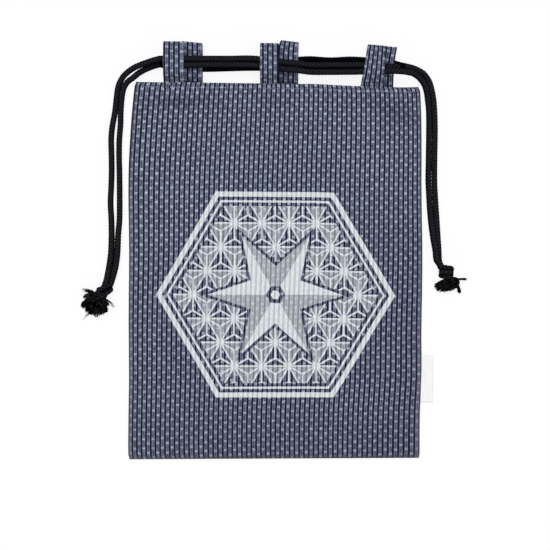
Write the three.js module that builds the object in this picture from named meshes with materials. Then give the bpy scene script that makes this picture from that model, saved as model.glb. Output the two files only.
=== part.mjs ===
// Drawstring bag lying flat: two cloth panels sewn at the sides and bottom, a hem round the
// mouth, six cloth loops along it, and two drawcords that run through the loops and are knotted.
// Millimetres. +X runs across the bag, +Y towards its mouth and +Z up from the table.
// The origin is the middle of the back panel's underside.

import * as THREE from 'three';

// Cloth and fit
const CLOTH = 0.9; // thickness of a panel
const FOLDED_CLOTH = 0.7; // thickness of a hem facing or a pressed seam allowance
const CLEARANCE = 0.3; // between pieces that touch on the real bag
const TABLE_CLEARANCE = 0.1; // under what lies beside the bag

// Bag body
const BAG_WIDTH = 244.8; // seam to seam at the middle of the bag
const BAG_HEIGHT = 313; // bottom seam to mouth
const MOUTH_NARROWING = 3.6; // how far each side draws in towards the mouth
const NARROWING_LENGTH = 90; // length of side over which it draws in
const BELLY_RISE = 9; // how far the front panel swells over its rim
const SEAM_ALLOWANCE = 6;
const HEM_DEPTH = 8;
const SIDE_FULLNESS = 6; // power of the swell across the bag: higher is fuller at the sides
const BOTTOM_FULLNESS = 4; // power of the swell up from the bottom seam

// Cord loops
const LOOP_WIDTH = 17;
const LOOP_HEIGHT = 34.5; // mouth to the fold at the top of a loop
const LOOP_CLOTH = 0.9; // thickness of a loop's strip
const LOOP_ROOT = 2.4; // length over which both legs of a loop are sewn together
const ROOT_SLIT = 0.2; // gap between the legs where they leave the sewn root
const FRONT_LOOP_INSET = { left: 37.2, right: 40.9 }; // side seam to the middle of a loop
const BACK_LOOP_INSET = { left: 52.5, right: 29.9 };
const FRONT_MIDDLE_LOOP_X = -4.7;
const BACK_MIDDLE_LOOP_X = 12.2;

// Drawcords: heights of the four runs above the mouth
const CORD_DIAMETER = 5;
const UPPER_FRONT_RUN = 21.2;
const UPPER_BACK_RUN = 17.9;
const LOWER_FRONT_RUN = 14.1;
const LOWER_BACK_RUN = 11.1;
const LEFT_EXIT_REACH = 3; // how far the upper runs stand out of the left loops
const RIGHT_EXIT_REACH = 8; // how far the lower runs stand out of the right loops, past the turn there
const TURN_SPARE = 0.5; // spare room between a cord's turn and the other cord

// Knots and frayed ends
const KNOT_LENGTH = 9;
const KNOT_DIAMETER = 12.4;
const KNOT_FACE_DIAMETER = 8.6; // flat end of a knot, where the strands come in
const KNOT_HEIGHT = 10.2;
const FRAY_HEIGHT = 5;
const FRAY_ROOT_WIDTH = 10;

// Side tab
const TAB_REACH = 9; // how far the tab stands out of the right seam
const TAB_LENGTH = 39.2;
const TAB_CENTRE_Y = -89.2;

// Facets
const CORD_SIDES = 10;
const KNOT_SEGMENTS = 18;
const FOLD_SEGMENTS = 5;
const SEAT_SEGMENTS = 4;
const TURN_STEPS = 7;
const PANEL_COLUMNS = 22;
const PANEL_ROWS = 24;
const EDGE_ROWS = 12;

// Places that follow from the sizes above
const halfWidth = BAG_WIDTH / 2;
const mouthY = BAG_HEIGHT / 2;
const bottomY = -BAG_HEIGHT / 2;
const frontLoopX = {
  left: FRONT_LOOP_INSET.left - halfWidth,
  middle: FRONT_MIDDLE_LOOP_X,
  right: halfWidth - FRONT_LOOP_INSET.right,
};
const backLoopX = {
  left: BACK_LOOP_INSET.left - halfWidth,
  middle: BACK_MIDDLE_LOOP_X,
  right: halfWidth - BACK_LOOP_INSET.right,
};
const cordRadius = CORD_DIAMETER / 2;
const cordPitch = CORD_DIAMETER + CLEARANCE;
const seamLow = CLOTH + CLEARANCE;
const seamHigh = seamLow + FOLDED_CLOTH;
const rimLow = seamHigh + CLEARANCE;
const loopGap = CORD_DIAMETER + 2 * CLEARANCE;
const loopThickness = loopGap + 2 * LOOP_CLOTH;
const seatStart = LOWER_BACK_RUN - cordRadius - CLEARANCE;
const seatEnd = UPPER_FRONT_RUN + cordRadius + CLEARANCE;
const backLoopLow = CLEARANCE;
const frontLoopLow = backLoopLow + loopThickness + CLEARANCE;
const backRunZ = backLoopLow + LOOP_CLOTH + CLEARANCE + cordRadius;
const frontRunZ = frontLoopLow + LOOP_CLOTH + CLEARANCE + cordRadius;
const mouthRise = frontLoopLow + LOOP_CLOTH - rimLow - CLOTH / 2;
const turnPitch = cordPitch + TURN_SPARE;
const upperTurn = { turnFront: LOWER_FRONT_RUN + turnPitch, turnRear: LOWER_BACK_RUN + turnPitch };
const lowerTurn = { turnFront: UPPER_FRONT_RUN - turnPitch, turnRear: UPPER_BACK_RUN - turnPitch };
const lowerTurnRadius = Math.hypot(lowerTurn.turnFront - lowerTurn.turnRear, frontRunZ - backRunZ) / 2;
const leftTurnRoom = CLEARANCE + cordRadius + lowerTurnRadius;
const leftExitX = frontLoopX.left - LOOP_WIDTH / 2 - LEFT_EXIT_REACH;
const rightExitX = backLoopX.right + LOOP_WIDTH / 2 + RIGHT_EXIT_REACH;

// Finishes
const STRIPED_CLOTH = { color: 0x4a5068, roughness: 0.9, metalness: 0 };
const BLACK_CORD = { color: 0x0c0c0e, roughness: 0.75, metalness: 0 };
const BLACK_FRAY = { color: 0x141416, roughness: 0.95, metalness: 0 };
const WHITE_RIBBON = { color: 0xe9e9e6, roughness: 0.7, metalness: 0 };

const bag = new THREE.Group();

/** Adds one named piece to a group. */
function addPiece(group, name, geometry, finish) {
  const mesh = new THREE.Mesh(geometry, new THREE.MeshStandardMaterial(finish));
  mesh.name = name;
  group.add(mesh);
  return mesh;
}

/** Half the bag's width at height y: straight below, drawn in towards the mouth. */
function sideX(y) {
  const along = Math.max(0, (y - (mouthY - NARROWING_LENGTH)) / NARROWING_LENGTH);
  return halfWidth - MOUTH_NARROWING * along * along;
}

/** Underside of the front panel over a point of the back panel. */
function frontUnderside(x, y) {
  const across = Math.min(1, Math.abs(x) / sideX(y));
  const up = (y - bottomY) / BAG_HEIGHT;
  const swell = BELLY_RISE + (mouthRise - BELLY_RISE) * up * up;
  const bottomEase = 1 - Math.pow(1 - up, BOTTOM_FULLNESS);
  return rimLow + swell * bottomEase * (1 - Math.pow(across, SIDE_FULLNESS));
}

/**
 * Closed sheet between two surfaces over a grid.
 * corner(s, t) gives [x, y] for s and t from 0 to 1, low and high give z there.
 */
function sheetSolid(columns, rows, corner, low, high) {
  const positions = [];
  for (const surface of [low, high]) {
    for (let j = 0; j <= rows; j++) {
      for (let i = 0; i <= columns; i++) {
        const [x, y] = corner(i / columns, j / rows);
        positions.push(x, y, surface(x, y));
      }
    }
  }
  const layer = (columns + 1) * (rows + 1);
  const at = (i, j, top) => (top ? layer : 0) + j * (columns + 1) + i;
  const index = [];
  const quad = (a, b, c, d) => index.push(a, b, c, a, c, d);
  for (let j = 0; j < rows; j++) {
    for (let i = 0; i < columns; i++) {
      quad(at(i, j, true), at(i + 1, j, true), at(i + 1, j + 1, true), at(i, j + 1, true));
      quad(at(i, j), at(i, j + 1), at(i + 1, j + 1), at(i + 1, j));
    }
  }
  for (let i = 0; i < columns; i++) {
    quad(at(i, 0), at(i + 1, 0), at(i + 1, 0, true), at(i, 0, true));
    quad(at(i + 1, rows), at(i, rows), at(i, rows, true), at(i + 1, rows, true));
  }
  for (let j = 0; j < rows; j++) {
    quad(at(0, j + 1), at(0, j), at(0, j, true), at(0, j + 1, true));
    quad(at(columns, j), at(columns, j + 1), at(columns, j + 1, true), at(columns, j, true));
  }
  const geometry = new THREE.BufferGeometry();
  geometry.setAttribute('position', new THREE.Float32BufferAttribute(positions, 3));
  geometry.setIndex(index);
  geometry.computeVertexNormals();
  return geometry;
}

/** Grid corner over the whole bag, with columns closer together towards the sides. */
function panelCorner(s, t) {
  const y = bottomY + BAG_HEIGHT * t;
  return [sideX(y) * Math.sin((s - 0.5) * Math.PI), y];
}

/** Back panel, flat on the table, and front panel, swelling over it. */
function addPanels(group) {
  const flat = (z) => () => z;
  const backPanel = sheetSolid(2, EDGE_ROWS, panelCorner, flat(0), flat(CLOTH));
  addPiece(group, 'back_panel', backPanel, STRIPED_CLOTH);
  const frontTop = (x, y) => frontUnderside(x, y) + CLOTH;
  const frontPanel = sheetSolid(PANEL_COLUMNS, PANEL_ROWS, panelCorner, frontUnderside, frontTop);
  addPiece(group, 'front_panel', frontPanel, STRIPED_CLOTH);
}

/** Pressed seam allowances between the panels, up both sides and along the bottom. */
function addSeams(group) {
  const low = () => seamLow;
  const high = () => seamHigh;
  for (const [name, side] of [['left_seam', -1], ['right_seam', 1]]) {
    const corner = (s, t) => {
      const y = bottomY + BAG_HEIGHT * t;
      const inward = SEAM_ALLOWANCE * (side < 0 ? s : 1 - s);
      return [side * (sideX(y) - inward), y];
    };
    addPiece(group, name, sheetSolid(1, EDGE_ROWS, corner, low, high), STRIPED_CLOTH);
  }
  const reach = halfWidth - SEAM_ALLOWANCE - CLEARANCE;
  const bottomCorner = (s, t) => [reach * (2 * s - 1), bottomY + SEAM_ALLOWANCE * t];
  addPiece(group, 'bottom_seam', sheetSolid(1, 1, bottomCorner, low, high), STRIPED_CLOTH);
}

/** Turned-in hem facings, one inside each panel at the mouth. */
function addHems(group) {
  const reach = sideX(mouthY) - SEAM_ALLOWANCE - CLEARANCE;
  const corner = (s, t) => [reach * Math.sin((s - 0.5) * Math.PI), mouthY - HEM_DEPTH * (1 - t)];
  const backHem = sheetSolid(1, 1, corner, () => seamLow, () => seamHigh);
  addPiece(group, 'back_hem', backHem, STRIPED_CLOTH);
  const frontHigh = (x, y) => frontUnderside(x, y) - CLEARANCE;
  const frontLow = (x, y) => frontHigh(x, y) - FOLDED_CLOTH;
  addPiece(group, 'front_hem', sheetSolid(PANEL_COLUMNS, 1, corner, frontLow, frontHigh), STRIPED_CLOTH);
}

/** Blank ribbon tab that stands out of the right seam. */
function addTab(group) {
  const tab = new THREE.BoxGeometry(TAB_REACH, TAB_LENGTH, FOLDED_CLOTH);
  const mesh = addPiece(group, 'label_tab', tab, WHITE_RIBBON);
  const seamEdge = sideX(TAB_CENTRE_Y) + CLEARANCE;
  mesh.position.set(seamEdge + TAB_REACH / 2, TAB_CENTRE_Y, seamLow + FOLDED_CLOTH / 2);
}

/**
 * Side outline of a loop as [up, z] pairs: from its sewn root along the rear leg, over the fold
 * at its top and down the front leg. inset 0 gives the outside, the strip's thickness the inside.
 */
function loopOutline(low, inset) {
  const foldLength = LOOP_HEIGHT - seatEnd - inset;
  const middle = low + loopThickness / 2;
  const halfThickness = loopThickness / 2 - inset;
  const rootUp = inset > 0 ? LOOP_ROOT : CLEARANCE;
  const rootHalf = inset > 0 ? ROOT_SLIT / 2 : LOOP_CLOTH;
  const seatUp = (i) => seatStart + ((seatEnd - seatStart) * i) / SEAT_SEGMENTS;
  const points = [[rootUp, low + LOOP_CLOTH - rootHalf]];
  for (let i = 0; i < SEAT_SEGMENTS; i++) {
    points.push([seatUp(i), middle - halfThickness]);
  }
  for (let i = 0; i <= FOLD_SEGMENTS; i++) {
    const angle = Math.PI * (i / FOLD_SEGMENTS - 0.5);
    points.push([seatEnd + foldLength * Math.cos(angle), middle + halfThickness * Math.sin(angle)]);
  }
  for (let i = SEAT_SEGMENTS - 1; i >= 0; i--) {
    points.push([seatUp(i), middle + halfThickness]);
  }
  points.push([rootUp, low + LOOP_CLOTH + rootHalf]);
  return points;
}

/** Folded strip loop standing on the mouth; rearLegShift moves its rear leg sideways. */
function loopGeometry(low, rearLegShift) {
  const outlines = [loopOutline(low, 0), loopOutline(low, LOOP_CLOTH)];
  const count = outlines[0].length;
  const positions = [];
  for (const edge of [-LOOP_WIDTH / 2, LOOP_WIDTH / 2]) {
    for (const outline of outlines) {
      outline.forEach(([up, z], i) => {
        const onRearLeg = i >= 1 && i <= SEAT_SEGMENTS + 1;
        positions.push(edge + (onRearLeg ? rearLegShift : 0), up, z);
      });
    }
  }
  const index = [];
  const quad = (a, b, c, d) => index.push(a, b, c, a, c, d);
  for (let i = 0; i < count; i++) {
    const next = (i + 1) % count;
    const [leftOuter, leftInner, rightOuter, rightInner] = [0, count, 2 * count, 3 * count];
    quad(leftOuter + i, leftOuter + next, rightOuter + next, rightOuter + i);
    quad(leftInner + i, rightInner + i, rightInner + next, leftInner + next);
    quad(rightOuter + i, rightOuter + next, rightInner + next, rightInner + i);
    quad(leftOuter + i, leftInner + i, leftInner + next, leftOuter + next);
  }
  const geometry = new THREE.BufferGeometry();
  geometry.setAttribute('position', new THREE.Float32BufferAttribute(positions, 3));
  geometry.setIndex(index);
  geometry.computeVertexNormals();
  return geometry;
}

/** Three loops on the front of the mouth and three on its back, standing to one side of them. */
function addLoops(group) {
  const rows = [['front', frontLoopX, frontLoopLow], ['back', backLoopX, backLoopLow]];
  for (const [row, places, low] of rows) {
    for (const [place, x] of Object.entries(places)) {
      const shift = row === 'front' && place === 'left' ? leftTurnRoom : 0;
      const name = `${row}_loop_${place}`;
      const mesh = addPiece(group, name, loopGeometry(low, shift), STRIPED_CLOTH);
      mesh.position.set(x, mouthY, 0);
    }
  }
}

/** Smooth cord route that takes the same number of steps between each pair of its points. */
class CordRoute extends THREE.CatmullRomCurve3 {
  getUtoTmapping(u) {
    return u;
  }
}

/** Round cord along a list of points. */
function cordGeometry(points, stepsPerPoint) {
  const section = new THREE.Shape();
  for (let i = 0; i < CORD_SIDES; i++) {
    const angle = (2 * Math.PI * i) / CORD_SIDES;
    const x = cordRadius * Math.cos(angle);
    const y = cordRadius * Math.sin(angle);
    if (i === 0) section.moveTo(x, y);
    else section.lineTo(x, y);
  }
  section.closePath();
  const extrudePath = new CordRoute(points);
  const steps = (points.length - 1) * stepsPerPoint;
  return new THREE.ExtrudeGeometry(section, { steps, extrudePath, bevelEnabled: false });
}

/**
 * Route of a cord through the loops: in along the front, round the far loops, back along the rear.
 * front and rear are the runs' heights above the mouth, turnFront and turnRear those at the turn.
 */
function runRoute({ exitX, straightTo, turnFrom, turnX, front, rear, turnFront, turnRear }) {
  const points = [];
  const add = (x, up, z) => points.push(new THREE.Vector3(x, mouthY + up, z));
  const middleX = (exitX + straightTo) / 2;
  add(exitX, front, frontRunZ);
  add(middleX, front, frontRunZ);
  add(straightTo, front, frontRunZ);
  add(turnFrom, turnFront, frontRunZ);
  const turnUp = (turnFront + turnRear) / 2;
  const turnZ = (frontRunZ + backRunZ) / 2;
  const radius = Math.hypot(turnFront - turnUp, frontRunZ - turnZ);
  const outward = Math.sign(straightTo - exitX);
  const leadX = turnX - outward * cordRadius;
  add(leadX, turnFront, frontRunZ);
  for (let i = 0; i <= TURN_STEPS; i++) {
    const angle = (Math.PI * i) / TURN_STEPS;
    const lean = Math.cos(angle);
    const x = turnX + outward * radius * Math.sin(angle);
    add(x, turnUp + lean * (turnFront - turnUp), turnZ + lean * (frontRunZ - turnZ));
  }
  add(leadX, turnRear, backRunZ);
  add(turnFrom, turnRear, backRunZ);
  add(straightTo, rear, backRunZ);
  add(middleX, rear, backRunZ);
  add(exitX, rear, backRunZ);
  return points;
}

/** The two cords' runs through the loops: the upper one turns at the right, the lower at the left. */
function addRuns(group) {
  const upper = runRoute({
    exitX: leftExitX,
    straightTo: frontLoopX.right - LOOP_WIDTH / 2,
    turnFrom: backLoopX.right,
    turnX: backLoopX.right + LOOP_WIDTH / 2 + CLEARANCE,
    front: UPPER_FRONT_RUN,
    rear: UPPER_BACK_RUN,
    ...upperTurn,
  });
  addPiece(group, 'left_cord_run', cordGeometry(upper, 2), BLACK_CORD);

  const lower = runRoute({
    exitX: rightExitX,
    straightTo: backLoopX.left + LOOP_WIDTH / 2,
    turnFrom: backLoopX.left - LOOP_WIDTH / 2,
    turnX: frontLoopX.left - LOOP_WIDTH / 2 + leftTurnRoom,
    front: LOWER_FRONT_RUN,
    rear: LOWER_BACK_RUN,
    ...lowerTurn,
  });
  addPiece(group, 'right_cord_run', cordGeometry(lower, 2), BLACK_CORD);
}

// Free tails: each point is [out from the side seam, up from the mouth, height of its centre].
const LYING = TABLE_CLEARANCE + cordRadius;
const LEFT_FRONT_TAIL = [
  [-18, 20.2, 10.8], [-10, 17.6, 8.4], [-2.2, 13.6, 5.2], [5.4, 7.2, 3.2], [10.2, -0.6, LYING],
  [11.3, -8.5, LYING], [11.4, -20, LYING], [12.2, -32, LYING], [13.8, -48, LYING],
  [14.8, -66, LYING], [15.1, -84, LYING], [14.9, -102, LYING], [14.6, -118, LYING],
  [15.4, -134, LYING], [17.2, -148, LYING],
];
const LEFT_BACK_TAIL = [
  [-17, 15.2, 3.4], [-9.2, 10.6, 2.8], [-1.8, 4.4, LYING], [3.2, -2.6, LYING],
  [5.6, -10.5, LYING], [6, -20, LYING], [6.6, -32, LYING], [7.3, -48, LYING], [7.8, -66, LYING],
  [8, -84, LYING], [7.9, -102, LYING], [8.1, -118, LYING], [9.6, -134, LYING],
  [11.8, -148, LYING],
];
const RIGHT_FRONT_TAIL = [
  [-5.5, 13.4, 10], [1, 10.8, 7.2], [6, 6, 4.6], [9.2, -0.6, 3.1], [10.6, -8.5, LYING],
  [10.9, -18, LYING], [10.9, -30, LYING], [10.8, -44, LYING], [10.7, -60, LYING],
  [10.8, -76, LYING], [11.4, -92, LYING], [12.5, -108, 3], [13.2, -123, 5.6],
  [14.2, -136, 7.2], [15.4, -147, 7.8],
];
const RIGHT_BACK_TAIL = [
  [-5.5, 9, 3.6], [0, 5, 3], [3.7, -1.2, LYING], [5.2, -9, LYING], [5.5, -18, LYING],
  [5.5, -30, LYING], [5.4, -44, LYING], [5.3, -60, LYING], [5.4, -76, LYING], [6, -92, LYING],
  [7.2, -108, LYING], [8.9, -123, LYING], [11.2, -136, LYING], [14, -147, LYING],
];

// Knots: out from the side seam and up from the mouth, with the way that the cord runs through them
const LEFT_KNOT = { out: 20.5, up: -172.6, wayOut: 0.46, wayUp: -0.89, sideBySide: true };
const RIGHT_KNOT = { out: 20.2, up: -156.7, wayOut: 0.42, wayUp: -0.91, sideBySide: false };

// Frayed ends: length along the knot's way and half width of the spread on either side of it
const LEFT_FRAY = { length: 22, frontSpread: 12, backSpread: 11 };
const RIGHT_FRAY = { length: 13, frontSpread: 11.5, backSpread: 10 };

/** Frame of a knot: its middle, the way through it and the way across it, for side -1 or 1. */
function knotFrame(side, knot) {
  const middle = new THREE.Vector3(
    side * (halfWidth + knot.out), mouthY + knot.up, TABLE_CLEARANCE + KNOT_HEIGHT / 2);
  const way = new THREE.Vector3(side * knot.wayOut, knot.wayUp, 0).normalize();
  const across = new THREE.Vector3(way.y, -way.x, 0).multiplyScalar(-side);
  return { middle, way, across };
}

/** One tail strand from the end of its run to the face of its knot. */
function tailRoute(side, exit, table, knot, strand) {
  const points = [exit, exit.clone().add(new THREE.Vector3(side * cordRadius, 0, 0))];
  for (const [out, up, z] of table) {
    points.push(new THREE.Vector3(side * (halfWidth + out), mouthY + up, z));
  }
  const { middle, way, across } = knotFrame(side, knot);
  const apart = (strand * cordPitch) / 2;
  const offset = knot.sideBySide ? across.clone().multiplyScalar(apart) : new THREE.Vector3(0, 0, apart);
  const entry = middle.clone().add(offset).addScaledVector(way, -KNOT_LENGTH / 2 - CLEARANCE);
  points.push(entry.clone().addScaledVector(way, -cordRadius));
  points.push(entry);
  return points;
}

/** Barrel of a knot, flat where the strands come in and go out. */
function knotGeometry() {
  const radius = KNOT_DIAMETER / 2;
  const faceRadius = KNOT_FACE_DIAMETER / 2;
  const half = KNOT_LENGTH / 2;
  const profile = [
    new THREE.Vector2(0, -half), new THREE.Vector2(faceRadius, -half),
    new THREE.Vector2((radius + faceRadius) / 2, -half * 0.75), new THREE.Vector2(radius, 0),
    new THREE.Vector2((radius + faceRadius) / 2, half * 0.75),
    new THREE.Vector2(faceRadius, half), new THREE.Vector2(0, half),
  ];
  const geometry = new THREE.LatheGeometry(profile, KNOT_SEGMENTS);
  geometry.scale(1, 1, KNOT_HEIGHT / KNOT_DIAMETER);
  return geometry;
}

/** Flat fan of loose fibres on one side of a knot's middle line, along +Y from its root. */
function frayGeometry(length, spread, side) {
  const inner = side * CLEARANCE / 2;
  const fan = new THREE.Shape();
  fan.moveTo(inner, 0);
  fan.lineTo(side * FRAY_ROOT_WIDTH / 2, 0);
  fan.quadraticCurveTo(side * spread, length * 0.35, side * spread, length * 0.7);
  fan.quadraticCurveTo(side * spread * 0.6, length, inner, length);
  fan.closePath();
  const depth = FRAY_HEIGHT;
  return new THREE.ExtrudeGeometry(fan, { depth, bevelEnabled: false, curveSegments: 4 });
}

/** Tails, knot and frayed ends of the cord that leaves on one side. */
function addTail(group, side, word, exits, tables, knot, fray) {
  const strands = [['front', exits.front, tables.front, 1], ['back', exits.back, tables.back, -1]];
  for (const [strandWord, exit, table, strand] of strands) {
    const route = tailRoute(side, exit, table, knot, strand);
    addPiece(group, `${word}_tail_${strandWord}`, cordGeometry(route, 2), BLACK_CORD);
  }
  const { middle, way } = knotFrame(side, knot);
  const turn = Math.atan2(-way.x, way.y);
  const knotMesh = addPiece(group, `${word}_knot`, knotGeometry(), BLACK_CORD);
  knotMesh.position.copy(middle);
  knotMesh.rotation.z = turn;
  const root = middle.clone().addScaledVector(way, KNOT_LENGTH / 2 + CLEARANCE);
  for (const [strandWord, spread, half] of [
    ['front', fray.frontSpread, side],
    ['back', fray.backSpread, -side],
  ]) {
    const geometry = frayGeometry(fray.length, spread, -half);
    const mesh = addPiece(group, `${word}_frayed_end_${strandWord}`, geometry, BLACK_FRAY);
    mesh.position.set(root.x, root.y, TABLE_CLEARANCE);
    mesh.rotation.z = turn;
  }
}

/** Both sides' free tails, starting a clearance beyond the ends of the runs. */
function addTails(group) {
  const exitAt = (x, up, z) => new THREE.Vector3(x, mouthY + up, z);
  const leftX = leftExitX - CLEARANCE;
  const leftExits = {
    front: exitAt(leftX, UPPER_FRONT_RUN, frontRunZ),
    back: exitAt(leftX, UPPER_BACK_RUN, backRunZ),
  };
  const leftTables = { front: LEFT_FRONT_TAIL, back: LEFT_BACK_TAIL };
  addTail(group, -1, 'left', leftExits, leftTables, LEFT_KNOT, LEFT_FRAY);
  const rightX = rightExitX + CLEARANCE;
  const rightExits = {
    front: exitAt(rightX, LOWER_FRONT_RUN, frontRunZ),
    back: exitAt(rightX, LOWER_BACK_RUN, backRunZ),
  };
  const rightTables = { front: RIGHT_FRONT_TAIL, back: RIGHT_BACK_TAIL };
  addTail(group, 1, 'right', rightExits, rightTables, RIGHT_KNOT, RIGHT_FRAY);
}

addPanels(bag);
addSeams(bag);
addHems(bag);
addTab(bag);
addLoops(bag);
addRuns(bag);
addTails(bag);

export default bag;
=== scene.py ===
"""Drawstring bag of striped cloth, laid flat, with two knotted drawcords through its loops.

Sizes are millimetres, turned into metres where a mesh or a frame call needs them.
+X runs across the bag, +Y towards its mouth and +Z up from the table.
"""
import logging
import math
from dataclasses import dataclass, field
from enum import Enum
from typing import ClassVar

import bpy
import numpy as np
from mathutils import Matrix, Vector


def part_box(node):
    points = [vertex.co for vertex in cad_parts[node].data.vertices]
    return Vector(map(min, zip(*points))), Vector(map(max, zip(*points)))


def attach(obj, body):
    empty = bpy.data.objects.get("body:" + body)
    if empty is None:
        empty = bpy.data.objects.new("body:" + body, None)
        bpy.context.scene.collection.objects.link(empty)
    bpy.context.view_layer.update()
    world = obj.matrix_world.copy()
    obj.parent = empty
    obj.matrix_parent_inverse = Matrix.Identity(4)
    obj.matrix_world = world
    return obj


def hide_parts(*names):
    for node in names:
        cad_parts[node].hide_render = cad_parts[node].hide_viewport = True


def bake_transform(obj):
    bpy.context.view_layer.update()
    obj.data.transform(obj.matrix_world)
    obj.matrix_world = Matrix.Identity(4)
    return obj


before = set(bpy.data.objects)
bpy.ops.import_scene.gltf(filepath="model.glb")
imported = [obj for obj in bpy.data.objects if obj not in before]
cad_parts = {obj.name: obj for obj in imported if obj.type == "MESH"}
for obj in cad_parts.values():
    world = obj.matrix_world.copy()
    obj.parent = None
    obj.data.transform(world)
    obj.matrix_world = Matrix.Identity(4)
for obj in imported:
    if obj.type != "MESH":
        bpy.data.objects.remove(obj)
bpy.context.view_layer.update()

MM = 0.001
LOG = logging.getLogger("drawstring_bag")
UV_NAME = "cloth"
UP = np.array([0.0, 0.0, 1.0])

# Weave: columns across the bag, pitches, climb of the dot rows at each column, lean of the columns
COLUMNS = 60
COLUMN_PITCH = 4.06
DOT_PITCH = 7.9
ROW_RISE = 0.015
GRAIN_LEAN = 5.8

# Heights of a cord's middle line: on the table, and at the front and the back inside the loops
LYING = 2.6
ABOVE = 11.7
BELOW = 4.0

Piece = bpy.types.Object
Material = bpy.types.Material
# Where a change starts and where it is complete
Fade = tuple[float, float]
# Sizes for two sides or two ends
Pair = tuple[float, float]


class Half(Enum):
    """Half of the bag: the value is its side of the middle line."""

    LEFT = -1
    RIGHT = 1

    @property
    def word(self) -> str:
        """Name of the half in the names of pieces."""
        return self.name.lower()


class Face(Enum):
    """Panel of the bag."""

    FRONT = "front"
    BACK = "back"


class Slot(Enum):
    """Material slots of the record."""

    CLOTH = "striped_cloth"
    CORD = "black_cord"
    FRAY = "frayed_cord"
    RIBBON = "white_ribbon"


def metres(point: np.ndarray | tuple[float, ...]) -> tuple[float, ...]:
    """Point or size in millimetres as metres."""
    return tuple(float(value) * MM for value in point)


def node_box(node: str) -> tuple[np.ndarray, np.ndarray]:
    """Lowest and highest corner of a CAD node, in millimetres."""
    low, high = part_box(node)
    return np.array(low) / MM, np.array(high) / MM


def linear(hex_colour: str) -> tuple[float, float, float, float]:
    """Turn a screen colour into the linear colour that a shader takes, by the sRGB curve.

    Args:
        hex_colour: Six hex digits, red first.

    Returns:
        Linear red, green, blue and an opaque alpha.
    """
    parts = [int(hex_colour[i:i + 2], 16) / 255 for i in (0, 2, 4)]
    knee, slope, offset, power = 0.04045, 12.92, 0.055, 2.4
    bent = [part / slope if part <= knee else ((part + offset) / (1 + offset)) ** power for part in parts]
    return (*bent, 1.0)


def ramp(value: np.ndarray, start: float, end: float) -> np.ndarray:
    """Straight rise from 0 at start to 1 at end, held level outside them."""
    return np.clip((value - start) / (end - start), 0, 1)


class Field:
    """Number that varies over a surface, held as an output of a shader node."""

    def __init__(self, tree: bpy.types.NodeTree, socket: bpy.types.NodeSocket) -> None:
        """Hold a socket and the tree that it is in."""
        self.tree = tree
        self.socket = socket

    def apply(self, operation: str, *others: "Field | float") -> "Field":
        """Combine this field with others in a Math node.

        Args:
            operation: Name of the Math node's operation.
            others: Further fields or plain numbers.

        Returns:
            The field that comes out.
        """
        node = self.tree.nodes.new("ShaderNodeMath")
        node.operation = operation
        for place, value in zip(node.inputs, (self, *others)):
            if isinstance(value, Field):
                self.tree.links.new(value.socket, place)
            else:
                place.default_value = value
        return Field(self.tree, node.outputs[0])

    def __add__(self, other: "Field | float") -> "Field":
        """Sum of two fields."""
        return self.apply("ADD", other)

    def __sub__(self, other: "Field | float") -> "Field":
        """Difference of two fields."""
        return self.apply("SUBTRACT", other)

    def __mul__(self, other: "Field | float") -> "Field":
        """Product of two fields."""
        return self.apply("MULTIPLY", other)

    def size(self) -> "Field":
        """Value without its sign."""
        return self.apply("ABSOLUTE")

    def whole(self) -> "Field":
        """Whole part."""
        return self.apply("FLOOR")

    def part(self) -> "Field":
        """What is left over the whole part."""
        return self.apply("FRACT")

    def off_middle(self) -> "Field":
        """Distance from the middle between two whole numbers, up to 0.5."""
        return (self.part() - 0.5).size()

    def least(self, *others: "Field | float") -> "Field":
        """Smallest of this field and others."""
        return self.apply("MINIMUM", others[0]).least(*others[1:]) if others else self

    def most(self, *others: "Field | float") -> "Field":
        """Largest of this field and others."""
        return self.apply("MAXIMUM", others[0]).most(*others[1:]) if others else self

    def step(self, start: float, end: float) -> "Field":
        """Rise smoothly from 0 at start to 1 at end.

        Args:
            start: Value at which the result is 0.
            end: Value at which the result is 1, above or below start.

        Returns:
            The smooth step, held level outside start and end.
        """
        node = self.tree.nodes.new("ShaderNodeMapRange")
        node.interpolation_type = "SMOOTHSTEP"
        self.tree.links.new(self.socket, node.inputs["Value"])
        rising = start < end
        levels = {"From Min": min(start, end), "From Max": max(start, end),
                  "To Min": float(not rising), "To Max": float(rising)}
        for socket, level in levels.items():
            node.inputs[socket].default_value = level
        return Field(self.tree, node.outputs["Result"])


# Values over a surface, in a mesh or in a shader
Reading = np.ndarray | Field


def smooth(share: Reading) -> Reading:
    """Smooth step of a share from 0 to 1."""
    return share * share * (share * -2.0 + 3.0)


def grain_drift(t: Reading) -> Reading:
    """How far the columns have drifted to the right at a height from 0, the bottom, to 1, the mouth."""
    return (smooth(t) - 0.5) * GRAIN_LEAN


@dataclass(frozen=True)
class Wave:
    """Gentle wave: its height, its length over one radian and its start."""

    height: float
    length: float
    start: float = 0.0

    def at(self, place: np.ndarray) -> np.ndarray:
        """Height of the wave at a place."""
        return self.height * np.sin(place / self.length + self.start)


@dataclass(frozen=True)
class Ripple:
    """Uneven ripple beside an edge, which dies out over its reach."""

    height: float
    reach: float
    length: float
    sway: Wave

    def at(self, place: np.ndarray, from_edge: np.ndarray) -> np.ndarray:
        """Height of the ripple at a place along the edge and a distance from it."""
        phase = place / self.length + self.sway.at(place)
        return self.height * np.exp(-from_edge / self.reach) * np.sin(phase)


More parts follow.
